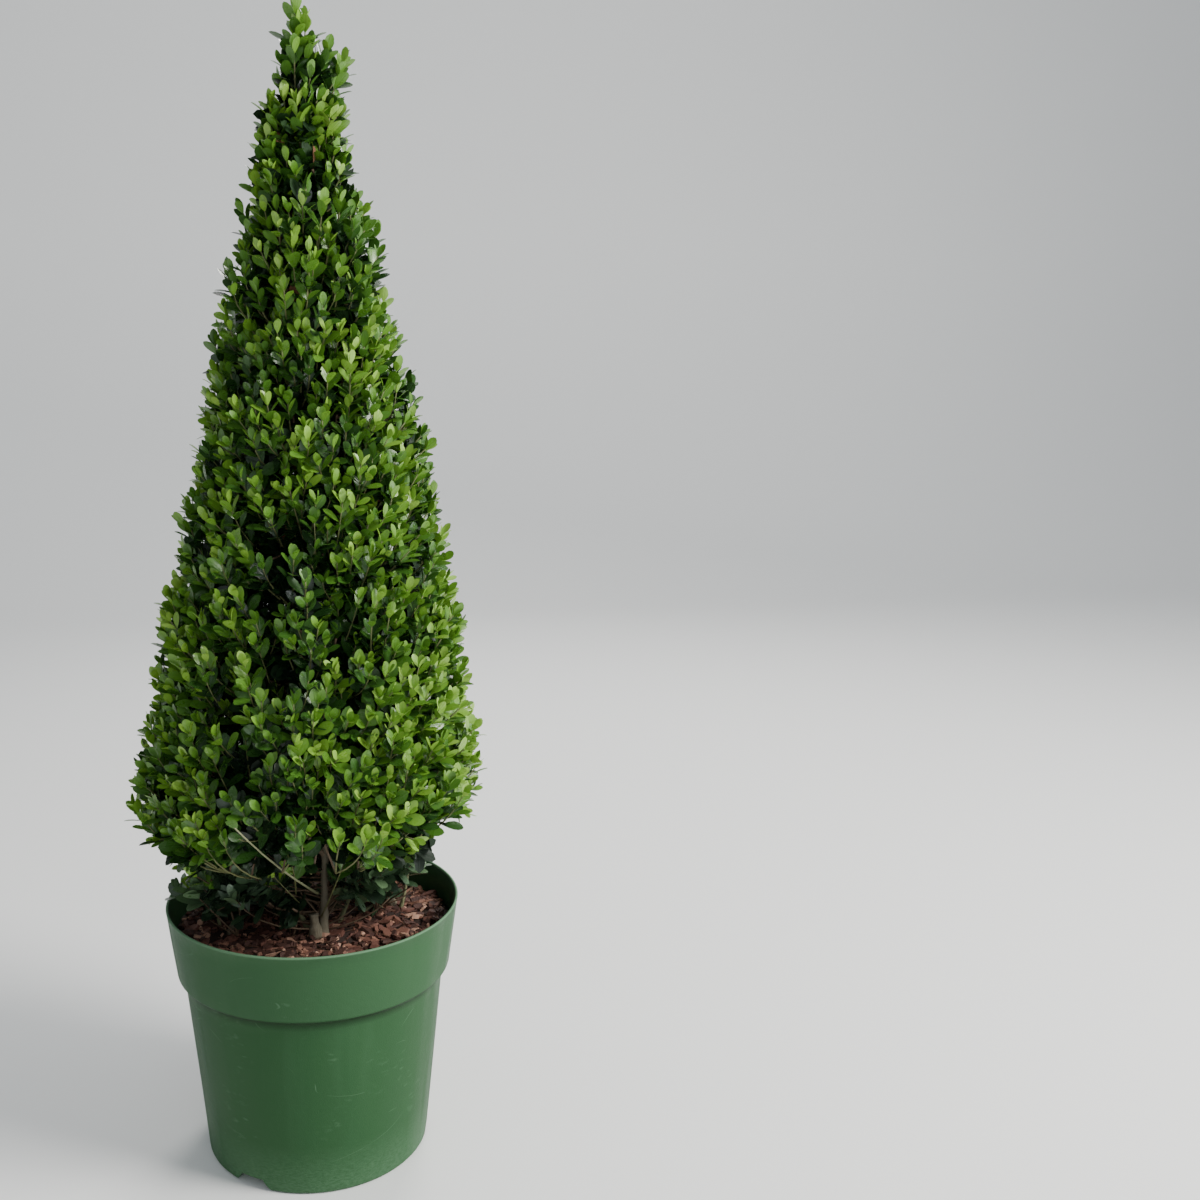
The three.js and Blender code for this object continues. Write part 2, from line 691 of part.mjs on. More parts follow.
const footCut = MIX.top - SUNK;
const grownTrunk = solid(limb(trunk, GAP));
const feet = [trunk, ...stems].map((l) => ({ point: l.centre(0).setZ(footCut), radius: l.radius(0) }));
addNode("pot", makePot(), COLOURS.pot, 0.45);
addNode("potting_mix", makeMix(feet), COLOURS.mix, 0.95);
addNode("trunk", cutAtFoot(solid(limb(trunk)), footCut), COLOURS.bark, 0.85);
for (const l of stems) addNode(l.name, cutAtFoot(solid(limb(l)), footCut), COLOURS.bark, 0.85);
for (const l of boughs) addNode(l.name, solid(limb(l)).subtract(grownTrunk), COLOURS.bark, 0.85);
for (const space of sprigs) {
  const near = [trunk, ...stems, ...carrier(space)];
  const mass = makeMass(space, space.sprig, SEEDS.sprig + SEEDS.mass * space.index, near, false);
  addNode(`foliage_${space.name}`, mass, COLOURS.oldLeaf, 0.4);
}
for (const space of spaces) {
  const near = [trunk, ...carrier(space)];
  const seed = SEEDS.tier * space.tier + SEEDS.mass * space.index;
  addNode(`foliage_${space.name}`, makeMass(space, TIERS[space.tier], seed, near, true), COLOURS.leaf, 0.35);
}
addNode("foliage_tip", makeTip(), COLOURS.leaf, 0.35);

export default group;
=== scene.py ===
"""A small-leaved holly clipped to a tall pyramid, in a plastic nursery pot.

The clipped surface is a cone with slightly bulging sides. With T the height of its top, W that of
its widest ring and R the radius there, its radius is
    R * ((T - z) / (T - W)) ** taper              above the widest ring
    R - undercut * min(1, (W - z) / drop) ** 2    below it.
Everything in the crown climbs as it runs outwards: a point at radius r that belongs to height h
at the axis stands at z = h + rise * r.
A leaf is a strip bent along its midrib. At share v of its length L the midrib is at
    v * L along the leaf and -curl * L * v ** 2 across it,
and its edge stands out by half the width times the value of an outline table.
Lengths are worked out in millimetres, as on a drawing, and turned into metres in the meshes.
"""

# %% [markdown]
# # A clipped holly in its pot
# This lesson dresses a fixed model of a potted topiary, so that it looks like the real plant.
# The fixed model gives the size and place of every limb and of every mass of leaves.
# We first load it, and note the box it fills: whatever we grow has to stay in that box.

# %% Load the fixed model
import math

import bpy
import numpy as np
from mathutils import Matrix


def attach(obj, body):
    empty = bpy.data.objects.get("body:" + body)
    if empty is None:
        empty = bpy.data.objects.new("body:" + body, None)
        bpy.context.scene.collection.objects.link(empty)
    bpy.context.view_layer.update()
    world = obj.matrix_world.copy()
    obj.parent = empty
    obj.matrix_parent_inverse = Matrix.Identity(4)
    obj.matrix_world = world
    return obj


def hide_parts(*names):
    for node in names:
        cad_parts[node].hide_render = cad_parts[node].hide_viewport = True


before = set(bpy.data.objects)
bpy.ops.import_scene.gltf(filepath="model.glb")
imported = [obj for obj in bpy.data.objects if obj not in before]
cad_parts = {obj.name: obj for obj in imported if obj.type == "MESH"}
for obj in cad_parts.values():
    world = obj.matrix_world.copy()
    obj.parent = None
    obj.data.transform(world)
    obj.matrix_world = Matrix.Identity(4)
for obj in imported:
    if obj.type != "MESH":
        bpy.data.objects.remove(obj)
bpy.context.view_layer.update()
MM = 0.001

# %% [markdown]
# ## Sizes
# The sizes are those of the fixed model, in millimetres. A gardener would call them the height
# and width of the cone, the pot's rim, and the depth of the potting mix under the rim.
# They are named once here, and every later cell reads them by name.

# %% Sizes of the pot, the limbs and the crown
POT_HEIGHT = 195.0
RIM_RADIUS = 110.0
BAND_HEIGHT = 50.0
BAND_RADIUS = 103.2
SHOULDER = 6.0
WALL_RADIUS = 97.8
FOOT_RADIUS = 84.4
WALL = 2.0
FLOOR = 3.0
MIX_TOP = 172.0
MIX_RADIUS = 103.6
MIX_FOOT = 12.5

CROWN_TOP = 838.0
WIDEST = 280.0
WIDEST_RADIUS = 129.0
TAPER = 0.75
UNDERCUT = 24.0
UNDERCUT_DROP = 26.0
LEAN = 6.0
RISE = 0.45

TRUNK_FOOT = np.array([6.0, -26.0, MIX_TOP - 4.0])
TRUNK_TOP = 776.0
TRUNK_BOW = 14.0
STEM_FOOT = 170.2
SUCKER_FOOT = 166.0

TIERS = [
    {"name": "skirt", "floor": 203, "masses": 5, "columns": 4, "rows": 2, "turn": 36},
    {"name": "lower", "floor": 303, "masses": 5, "columns": 4, "rows": 2, "turn": 0},
    {"name": "middle", "floor": 403, "masses": 4, "columns": 3, "rows": 2, "turn": 10},
    {"name": "upper", "floor": 502, "masses": 3, "columns": 3, "rows": 2, "turn": 55},
    {"name": "neck", "floor": 597, "masses": 2, "columns": 3, "rows": 2, "turn": 20},
    {"name": "peak", "floor": 687, "masses": 2, "columns": 3, "rows": 2, "turn": 110},
]
TIERS_TOP = 768
BOUGH_TIERS = 4
SPRIGS = [
    {"name": "low_left", "azimuth": 190, "half": 28, "reach": 104, "floor": 148, "grid": (3, 2)},
    {"name": "low_back", "azimuth": 112, "half": 40, "reach": 94, "floor": 158, "grid": (3, 1)},
    {"name": "low_right", "azimuth": 15, "half": 32, "reach": 88, "floor": 158, "grid": (2, 1)},
    {"name": "low_front", "azimuth": 241, "half": 22, "reach": 68, "floor": 158, "grid": (2, 1)},
]
SPRIG_CEILING = 203
STEMS = [("left", (-62, -8), 2), ("right", (62, 27), 0), ("back", (-14, 50), 1)]
HEART = 0.42
INNER = 0.3
SMALLEST = 7.0
GOLDEN_ANGLE = 2.39996
FULL_TURN = 6.283
UP = np.array([0.0, 0.0, 1.0])
print("tiers:", len(TIERS), "masses:", sum(tier["masses"] for tier in TIERS) + len(SPRIGS) + 1)

# %% [markdown]
# ## Numbers that look random but never change
# A plant is irregular, yet the script has to give the same plant each time it runs.
# `chance` turns a whole number into a value from 0 to 1 by a fixed rule, `loose` makes small steps
# in space of such values, and `noise` does the same for points, blended smoothly between the
# corners of a grid of little cubes. `ramp` rises from 0 to 1 between two values.

# %% Repeatable numbers
def chance(k):
    """A value from 0 to 1: the fraction of sin(12.9898 k + 4.1414) * 43758.5453."""
    s = np.sin(np.asarray(k, float) * 12.9898 + 4.1414) * 43758.5453
    return s - np.floor(s)


def loose(k, *steps):
    """Three values from -0.5 to 0.5 for each number, one for each of three steps added to it."""
    return np.stack([chance(k + step) - 0.5 for step in steps], axis=-1)


def ramp(value, low, high):
    """The share of the way from low to high, held between 0 and 1."""
    return np.clip((value - low) / (high - low), 0, 1)


def noise(points, size, seed=0):
    """Smooth values from -1 to 1, with lumps about size millimetres wide."""
    q = np.asarray(points, float) / size
    cell = np.floor(q)
    f = q - cell
    f = f * f * (3 - 2 * f)
    total = np.zeros(q.shape[:-1])
    for corner in np.ndindex(2, 2, 2):
        weight = np.prod(np.where(corner, f, 1 - f), axis=-1)
        at = cell + corner
        total += weight * chance(at[..., 0] * 1.71 + at[..., 1] * 19.19 + at[..., 2] * 47.77 + seed)
    return 2 * total - 1


print("the first three values:", chance([0, 1, 2]).round(3))

# %% [markdown]
# ## Meshes straight from arrays
# Thousands of leaves would be slow to add one by one. Instead all their corners are worked out
# together as one big array, and a mesh takes the array in a single step.
# Each face can point at one of the piece's materials, which is how leaves get their shades.
# A group is a list of such arrays with a row for each item: groups are joined array by array.

# %% Groups, points and faces
def join(*groups):
    """One group from several: all first arrays in one array, all second ones in one, and so on."""
    return [np.concatenate(arrays) for arrays in zip(*groups)]


def pick(group, kept):
    """The rows of each array of a group for which kept is true."""
    return [array[kept] for array in group]


def merge(parts):
    """Joins (points, faces) parts into one list of points and one list of face arrays."""
    points, groups, shift = [], [], 0
    for part_points, part_faces in parts:
        points.append(part_points)
        groups += [f + shift for f in part_faces]
        shift += len(part_points)
    return np.concatenate(points), groups


def stacked(*parts):
    """Puts coordinates side by side as points, or corners as faces. A single value fits all."""
    return np.stack(np.broadcast_arrays(*parts), axis=-1)


def around(sides):
    """Angles of points spread evenly round a circle."""
    return np.arange(sides) * 2 * math.pi / sides


def wall_faces(rings, sides):
    """Quads between each ring of points and the next."""
    i = np.arange(sides)
    j = (i + 1) % sides
    k = sides * np.arange(rings - 1)[:, None]
    return stacked(k + i, k + j, k + sides + j, k + sides + i).reshape(-1, 4)


def spin(profile, sides):
    """A ring of points about the axis for each radius and height of a profile."""
    turn = around(sides)
    r, z = profile[:, :1], profile[:, 1:]
    return stacked(r * np.cos(turn), r * np.sin(turn), z)


def ring_body(rings, first_pole, last_pole):
    """A closed body from rings of points, with a fan of faces to a pole at each end."""
    count, sides = rings.shape[:2]
    points = np.concatenate([rings.reshape(-1, 3), [first_pole, last_pole]])
    i = np.arange(sides)
    j = (i + 1) % sides
    last = (count - 1) * sides
    first_fan = stacked(j, i, len(points) - 2)
    last_fan = stacked(last + i, last + j, len(points) - 1)
    return points, [wall_faces(count, sides), first_fan, last_fan]


def repeated(faces, points, count):
    """The faces of one item that has so many points, for a row of such items."""
    base = (points * np.arange(count))[:, None, None]
    return [(f + base).reshape(-1, f.shape[1]) for f in faces]


def shade_slots(shade, faces):
    """The shade of each item, for all its faces."""
    return np.concatenate([np.repeat(shade, len(f) // len(shade)) for f in faces])


def from_axis(points):
    return np.hypot(points[..., 0], points[..., 1])


print("quads round a prism of six sides:", len(wall_faces(2, 6)))


# %% Build a piece from arrays
def make_mesh(name, points, faces, slots=None, uv=None):
    mesh = bpy.data.meshes.new(name)
    corners = np.concatenate([f.ravel() for f in faces]).astype(np.int32)
    sides = np.concatenate([np.full(len(f), f.shape[1]) for f in faces])
    starts = np.concatenate(([0], np.cumsum(sides)[:-1])).astype(np.int32)
    mesh.vertices.add(len(points))
    mesh.vertices.foreach_set("co", (np.asarray(points) * MM).ravel())
    mesh.loops.add(len(corners))
    mesh.loops.foreach_set("vertex_index", corners)
    mesh.polygons.add(len(sides))
    mesh.polygons.foreach_set("loop_start", starts)
    mesh.polygons.foreach_set("use_smooth", np.ones(len(sides), bool))
    if slots is not None:
        mesh.polygons.foreach_set("material_index", slots.astype(np.int32))
    if uv is not None:
        mesh.uv_layers.new(name="UVMap").uv.foreach_set("vector", uv[corners].ravel())
    mesh.update(calc_edges=True)
    return mesh


def add_object(name, data):
    made = bpy.data.objects.new(name, data)
    bpy.context.scene.collection.objects.link(made)
    return made


def add_piece(name, mesh, materials, nodes):
    """A piece of the visual model: its materials, the body it hangs on, and the fixed model's nodes
    it hides.
    """
    piece = add_object(name, mesh)
    for material in materials:
        mesh.materials.append(material)
    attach(piece, "root")
    if nodes:
        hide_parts(*nodes)
    mesh.calc_loop_triangles()
    print(name, "triangles:", len(mesh.loop_triangles))


def sharpen(mesh, degrees):
    """Edges bent by more than this are drawn as edges, and the rest as a smooth surface."""
    mesh.set_sharp_from_angle(angle=math.radians(degrees))


print("metres for each unit of a drawing:", MM)

# %% [markdown]
# ## Small effects shared by many materials
# Real surfaces are never perfectly even. Four node groups make the unevenness: fine grain and
# the veins of a leaf, which we make here, and later the scuffs on a pot and the ridges of bark.
# A group only hands out values and a bumped normal, so each material keeps its own shader.
# `feed` joins two nodes, and each function after it adds one node or two to a group.

# %% Node groups
def new_group(name, inputs, outputs):
    """An empty group: its tree, what it is given, what it hands out, and the place on the piece."""
    tree = bpy.data.node_groups.new(name, "ShaderNodeTree")
    for label, value in inputs.items():
        socket = tree.interface.new_socket(name=label, in_out="INPUT", socket_type="NodeSocketFloat")
        socket.default_value = value
    for label in outputs:
        kind = "NodeSocketVector" if label == "Normal" else "NodeSocketFloat"
        tree.interface.new_socket(name=label, in_out="OUTPUT", socket_type=kind)
    given = tree.nodes.new("NodeGroupInput").outputs
    made = tree.nodes.new("NodeGroupOutput").inputs
    return tree, given, made, tree.nodes.new("ShaderNodeTexCoord").outputs["Object"]


def feed(socket, value):
    """Sets an input to a plain value, or links it to the output of another node."""
    if isinstance(value, bpy.types.NodeSocket):
        socket.id_data.links.new(value, socket)
    else:
        socket.default_value = value


def add_node(source, kind, output, inputs):
    """A new node beside the one that source comes from: sets its inputs, returns an output."""
    node = source.id_data.nodes.new("ShaderNode" + kind)
    for label, value in inputs.items():
        feed(node.inputs[label], value)
    return node.outputs[output]


def add_noise(place, scale, detail=3.0, stretch=(1, 1, 1)):
    stretched = add_node(place, "Mapping", "Vector", {"Vector": place, "Scale": stretch})
    inputs = {"Vector": stretched, "Scale": scale, "Detail": detail}
    return add_node(place, "TexNoise", "Fac", inputs)


def add_math(operation, first, second=0.0):
    made = first.id_data.nodes.new("ShaderNodeMath")
    made.operation = operation
    feed(made.inputs[0], first)
    feed(made.inputs[1], second)
    return made.outputs["Value"]


def add(first, second):
    return add_math("ADD", first, second)


def times(first, second):
    return add_math("MULTIPLY", first, second)


def away_from(value, middle):
    return add_math("ABSOLUTE", add_math("SUBTRACT", value, middle))


def add_range(value, low, high, to_low=0.0, to_high=1.0):
    inputs = {"From Min": low, "From Max": high, "To Min": to_low, "To Max": to_high}
    return add_node(value, "MapRange", "Result", {"Value": value, **inputs})


def add_bump(height, strength, distance):
    inputs = {"Distance": distance, "Height": height, "Strength": strength}
    return add_node(height, "Bump", "Normal", inputs)


def grain_group():
    tree, given, made, place = new_group(
        "fine grain", {"Scale": 900.0, "Bump": 0.3}, ["Value", "Normal"]
    )
    speckle = add_noise(place, given["Scale"], 2.0)
    feed(made["Value"], speckle)
    feed(made["Normal"], add_bump(speckle, given["Bump"], 0.0006))
    return tree


def leaf_group():
    """A raised midrib, side veins that sweep forward from it, and patches of weaker gloss."""
    tree, given, made, place = new_group(
        "leaf veins", {"Roughness": 0.35, "Veins": 0.35}, ["Roughness", "Normal"]
    )
    leaf = tree.nodes.new("ShaderNodeUVMap").outputs["UV"]
    split = tree.nodes.new("ShaderNodeSeparateXYZ")
    feed(split.inputs["Vector"], leaf)
    across = away_from(split.outputs["X"], 0.5)
    midrib = add_range(across, 0.0, 0.07, 1.0, 0.0)
    swept = add_math("SUBTRACT", split.outputs["Y"], times(across, 0.55))
    wave = add_math("SINE", times(swept, 60.0))
    height = add(midrib, times(add_range(wave, 0.75, 1.0), 0.35))
    patch = add_range(add_noise(place, 160.0), 0.3, 0.7, -0.09, 0.12)
    feed(made["Roughness"], add(given["Roughness"], patch))
    feed(made["Normal"], add_bump(height, given["Veins"], 0.0004))
    return tree


GRAIN = grain_group()
VEINS = leaf_group()
print("groups:", [group.name for group in bpy.data.node_groups])

# %% [markdown]
# ## Plain colours for the leaves
# A holly leaf starts yellow-green and glossy, and turns dark and greyer with age. Each shade is a
# material with one plain colour. Shades are dealt out by the shoot, and along a shoot by age.
# The gloss comes from a thin coat, as wax does on the real leaf.
# Shoots at the top and at the lower right get lighter shades, which is painted light.

# %% Shader helper and leaf shades
def new_material(name, colour, roughness, coat=0.0, specular=0.5):
    """A material with one plain colour, and its shader."""
    material = bpy.data.materials.new(name)
    material.use_nodes = True
    material.diffuse_color = (*colour, 1)
    shader = material.node_tree.nodes["Principled BSDF"]
    values = {"Roughness": roughness, "Specular IOR Level": specular, "Coat Weight": coat}
    for label, value in {"Base Color": (*colour, 1), **values, "Coat Roughness": 0.25}.items():
        shader.inputs[label].default_value = value
    return material, shader


def use_group(shader, group, values):
    """Puts a group in front of a shader, which takes its normal, and its roughness if it has one."""
    node = shader.id_data.nodes.new("ShaderNodeGroup")
    node.node_tree = group
    for label, value in values.items():
        node.inputs[label].default_value = value
    for label in ("Normal", "Roughness"):
        if label in node.outputs:
            feed(shader.inputs[label], node.outputs[label])
    return node


LEAF_COLOURS = [
    (0.003, 0.012, 0.003),
    (0.006, 0.022, 0.005),
    (0.011, 0.038, 0.007),
    (0.021, 0.067, 0.010),
    (0.036, 0.107, 0.013),
    (0.060, 0.158, 0.017),
    (0.093, 0.220, 0.022),
    (0.136, 0.290, 0.029),
    (0.194, 0.370, 0.042),
    (0.262, 0.450, 0.068),
]
OLD_COLOURS = [
    (0.015, 0.034, 0.015),
    (0.031, 0.064, 0.028),
    (0.058, 0.110, 0.050),
    (0.100, 0.172, 0.080),
]


def leaf_materials(prefix, colours, roughness, coat, specular=0.5):
    made = []
    for i, colour in enumerate(colours):
        material, shader = new_material(f"{prefix}_{i}", colour, roughness, coat, specular)
        use_group(shader, VEINS, {"Roughness": roughness, "Veins": 0.4})
        made.append(material)
    return made


LEAVES = leaf_materials("leaf_shade", LEAF_COLOURS, 0.29, 0.28, 0.35)
OLD_LEAVES = leaf_materials("old_leaf_shade", OLD_COLOURS, 0.34, 0.4, 0.6)
print("leaf shades:", len(LEAVES) + len(OLD_LEAVES))

# %% [markdown]
# ## Camera
# The camera stands a metre away, a little above the middle of the crown, and looks slightly down
# and to the right, as in the photograph. Its lens and shift put the plant at the same place in
# the picture. We look from here so that our picture can be laid over the photograph.

# %% Camera
scene = bpy.context.scene
lens_data = bpy.data.cameras.new("camera")
lens_data.lens = 38.39
lens_data.sensor_width = 36.0
lens_data.shift_x = 0.0919
lens_data.shift_y = -0.0051
camera = add_object("camera", lens_data)
camera.location = (0.0, -0.9354, 0.5848)
camera.rotation_euler = (math.radians(90 - 9.64), 0.0, math.radians(-8.26))
scene.camera = camera
print("camera at", tuple(round(v, 3) for v in camera.location))

# %% [markdown]
# ## Floor and light
# A pale sweep of paper, as in a studio, keeps the eye on the plant. Its floor bends up into
# a wall far behind, so that no line shows where they meet.
# One large soft light from the upper right makes the right side of the crown the bright one. Weak
# ones in front and at the right open the shadows under the crown and on the pot, one from behind
# lights the crown's edge, and the even light of the room does the rest.

# %% Backdrop
def backdrop_mesh():
    """A strip 9 m wide: flat, then a quarter circle of 1 m radius, then upright."""
    turn = np.linspace(0, math.pi / 2, 13)
    y = np.concatenate(([-4.0], 2.2 + np.sin(turn), [3.2]))
    z = np.concatenate(([0.0], 1 - np.cos(turn), [5.0]))
    points = np.concatenate([stacked(x, y, z) for x in (-4.5, 4.5)])
    i = np.arange(14)
    faces = stacked(i, i + 15, i + 16, i + 1)
    return make_mesh("backdrop", points / MM, [faces])


backdrop = add_object("backdrop", backdrop_mesh())
paper, paper_shader = new_material("backdrop_paper", (0.88, 0.88, 0.87), 0.75)
use_group(paper_shader, GRAIN, {"Scale": 260.0, "Bump": 0.06})
backdrop.data.materials.append(paper)


# %% Lights
def add_light(name, location, target, size, power, colour):
    lamp = bpy.data.lights.new(name, "AREA")
    lamp.shape = "DISK"
    lamp.size = size
    lamp.energy = power
    lamp.color = colour
    holder = add_object(name, lamp)
    holder.location = location
    away = np.array(location) - np.array(target)
    flat = math.hypot(away[0], away[1])
    holder.rotation_euler = (math.atan2(flat, away[2]), 0, math.atan2(away[1], away[0]) + math.pi / 2)


MIDDLE = (0.0, 0.0, 0.45)
add_light("key", (1.7, -0.9, 1.8), MIDDLE, 1.0, 84, (1.0, 0.98, 0.94))
add_light("fill", (0.5, -2.4, 0.7), (0.0, 0.0, 0.22), 1.2, 9, (0.92, 0.97, 1.0))
add_light("side", (2.3, -0.5, 0.4), (0.0, 0.0, 0.12), 0.9, 17, (0.93, 0.98, 1.0))
add_light("rim", (0.6, 1.6, 1.7), MIDDLE, 0.8, 22, (1.0, 0.98, 0.95))

world = bpy.data.worlds.new("room")
world.use_nodes = True
world.node_tree.nodes["Background"].inputs["Color"].default_value = (0.88, 0.94, 1.0, 1)
world.node_tree.nodes["Background"].inputs["Strength"].default_value = 0.48
scene.world = world

# %% [markdown]
# ## The pot
# Nursery pots are blow-moulded from recycled plastic, two millimetres thick, with a wider band
# round the rim that gives a hand some grip, and drain channels pressed into the foot.
# The wall is a closed outline turned about the axis. Corners are drawn as short arcs, because
# moulded plastic has no knife edges and the arcs catch a thin line of light.
# The channels under the foot are cut from it with a boolean, as is the floor raised over them.

# %% Outline of the pot
SEGMENTS = 180
BAND_FOOT = POT_HEIGHT - BAND_HEIGHT
CHANNEL_HEIGHT = 8.5


def arc(centre, radius, start, end, steps):
    turn = np.radians(np.linspace(start, end, steps))
    return stacked(centre[0] + radius * np.cos(turn), centre[1] + radius * np.sin(turn))


def band_radius(z):
    return BAND_RADIUS + (RIM_RADIUS - BAND_RADIUS) * (z - BAND_FOOT) / BAND_HEIGHT


def wall_radius(z):
    share = (z - 3.0) / (BAND_FOOT - SHOULDER - 3.0)
    return FOOT_RADIUS + (WALL_RADIUS - FOOT_RADIUS) * share


def straight(rule, low, high, steps):
    z = np.linspace(low, high, steps)
    return stacked(rule(z), z)


def pot_outline():
    """Radius and height pairs: outside from the axis up, over the lip, inside down to the axis."""
    lip = WALL / 2
    shoulder_top = [
        (WALL_RADIUS + 0.7, BAND_FOOT - 4.6),
        (WALL_RADIUS + 1.9, BAND_FOOT - 3.1),
        (BAND_RADIUS - 1.1, BAND_FOOT - 2.0),
        (BAND_RADIUS - 0.3, BAND_FOOT - 1.1),
    ]
    inner_shoulder = [
        (BAND_RADIUS - WALL, BAND_FOOT),
        (WALL_RADIUS - WALL, BAND_FOOT - SHOULDER),
    ]
    parts = [
        [(0.0, 0.0)],
        arc((FOOT_RADIUS - 3.0, 3.0), 3.0, -90, -3, 7),
        straight(wall_radius, 6.0, BAND_FOOT - SHOULDER - 0.4, 14),
        shoulder_top,
        straight(band_radius, BAND_FOOT, POT_HEIGHT - lip - 0.2, 6),
        arc((RIM_RADIUS - lip, POT_HEIGHT - lip), lip, 0, 180, 9),
        straight(band_radius, POT_HEIGHT - lip - 0.2, BAND_FOOT + 1, 5) - (WALL, 0),
        inner_shoulder,
        straight(wall_radius, BAND_FOOT - SHOULDER - 1, 8.0, 8) - (WALL, 0),
        [(FOOT_RADIUS - WALL - 2.0, FLOOR + 0.4), (FOOT_RADIUS - WALL - 4.0, FLOOR), (0.0, FLOOR)],
    ]
    return np.concatenate([np.asarray(part, float) for part in parts])


def turn_profile(profile, sides):
    """A closed body from a profile whose two ends lie on the axis."""
    poles = [[0, 0, profile[0, 1]], [0, 0, profile[-1, 1]]]
    return ring_body(spin(profile[1:-1], sides), *poles)


outline = pot_outline()
print("outline points:", len(outline), "widest:", outline[:, 0].max())

# %% Wobble of the wall
def soften_wall(points):
    """Moulded walls aren't quite round: the radius swells by 0.25 mm in long, lazy waves."""
    azimuth = np.arctan2(points[:, 1], points[:, 0])
    r = from_axis(points)
    wave = np.sin(3 * azimuth + 0.7) * np.sin(points[:, 2] / 34.0)
    share = ramp(r, 60, 100) * ramp(points[:, 2], 8, 28)
    share = share * np.clip((RIM_RADIUS - 0.3 - r) / 3, 0, 1)
    grow = 1 + share * 0.25 * wave / np.maximum(r, 1)
    points[:, :2] *= grow[:, None]
    return points


pot_points, pot_faces = turn_profile(outline, SEGMENTS)
pot_points = soften_wall(pot_points)
print("pot points:", len(pot_points))


# %% Drain channels
def channel_prism(foot_width, roof_width, low, high, start, end, azimuth):
    """A trapezoid prism pointing outwards along an azimuth, as eight corners and six faces."""
    foot, roof = foot_width / 2, roof_width / 2
    half = [(-foot, low), (foot, low), (roof, high), (-roof, high)]
    inner = [[start, y, z] for y, z in half]
    outer = [[math.sqrt(end**2 - y**2), y, z] for y, z in half]
    points = np.array(inner + outer)
    c, s = math.cos(azimuth), math.sin(azimuth)
    points[:, :2] = points[:, :2] @ np.array([[c, -s], [s, c]]).T
    sides = [[(i + 1) % 4, (i + 1) % 4 + 4, i + 4, i] for i in range(4)]
    return points, [np.array([[3, 2, 1, 0], [4, 5, 6, 7]] + sides)]


def cut(piece, name, shapes, operation):
    """Joins shapes to a piece, or cuts them from it."""
    tool = add_object(name, make_mesh(name, *merge(shapes)))
    modifier = piece.modifiers.new(operation.lower(), "BOOLEAN")
    modifier.operation = operation
    modifier.solver = "EXACT"
    modifier.object = tool
    bpy.context.view_layer.update()
    depsgraph = bpy.context.evaluated_depsgraph_get()
    mesh = bpy.data.meshes.new_from_object(piece.evaluated_get(depsgraph))
    piece.modifiers.remove(modifier)
    piece.data = mesh
    bpy.data.objects.remove(tool)


CHANNELS = [math.radians(-126 + 120 * i) for i in range(3)]
raised = [channel_prism(36.4, 22.0, 1.0, CHANNEL_HEIGHT + WALL, 56.0, 83.2, a) for a in CHANNELS]
tunnels = [channel_prism(33.5, 18.0, -1.2, CHANNEL_HEIGHT, 58.0, 120.0, a) for a in CHANNELS]
draft = add_object("draft", make_mesh("draft", pot_points, pot_faces))
cut(draft, "raised", raised, "UNION")
cut(draft, "tunnels", tunnels, "DIFFERENCE")
print("pot faces after the cuts:", len(draft.data.polygons))


# %% Drain holes
def cylinder_shape(radius, low, high, centre, sides=20):
    """An upright cylinder, with its wall in triangles."""
    profile = np.array([(0, low), (radius, low), (radius, high), (0, high)], float)
    points, (walls, *fans) = turn_profile(profile, sides)
    halves = np.concatenate([walls[:, :3], walls[:, [0, 2, 3]]])
    return points + (*centre, 0), [halves, *fans]


HOLE_CENTRES = [(71 * math.cos(a), 71 * math.sin(a)) for a in CHANNELS]
holes = [cylinder_shape(4.5, -5.0, 20.0, centre) for centre in HOLE_CENTRES]
cut(draft, "holes", holes, "DIFFERENCE")
print("pot faces after the holes:", len(draft.data.polygons))

# %% [markdown]
# ## Plastic with a past
# A pot that has stood in a nursery is never glossy all over. Water and soil leave faint upright
# streaks, and handling leaves scuffs. Both show mainly in how sharply the surface reflects, so
# they drive the roughness and a shallow bump, and only a trace of the colour.
# Pale lines on the band's lower edge and on the lip are painted highlights, and the crease under the
# band is darkened with painted shade.

# %% Plastic material and the finished pot
def height_mask(place, low, high, start=0.0, end=1.0):
    """A mask that runs from start to end between two heights, in metres."""
    height = add_node(place, "SeparateXYZ", "Z", {"Vector": place})
    return add_range(height, low, high, start, end)


def foot_dust(place, streaks):
    """A mask of pale dust: full at the ground, gone 40 mm up, and torn into fine flat streaks."""
    low = height_mask(place, 0.006, 0.040, 1.0, 0.0)
    return times(low, add_range(streaks, 0.30, 0.74, 0.25, 1.0))


def scratch_lines(place, scale, width, share):
    """Thin lines where a smooth noise passes one half, kept only in some places."""
    smooth = add_noise(place, scale, 0.0, (1.0, 1.0, 2.6))
    line = add_range(away_from(smooth, 0.5), 0.3 * width, width, 1.0, 0.0)
    where = add_noise(place, 1.7 * scale + 3.0, 2.0)
    return times(line, add_range(where, share, share + 0.06))


def crease_painted_shade(place):
    """A mask of painted shade: the crease under the band is darkened where the band's shadow falls.
    """
    crease = height_mask(place, 0.1340, 0.1405, 0.0, 0.75)
    return times(crease, height_mask(place, 0.1432, 0.1440, 1.0, 0.0))


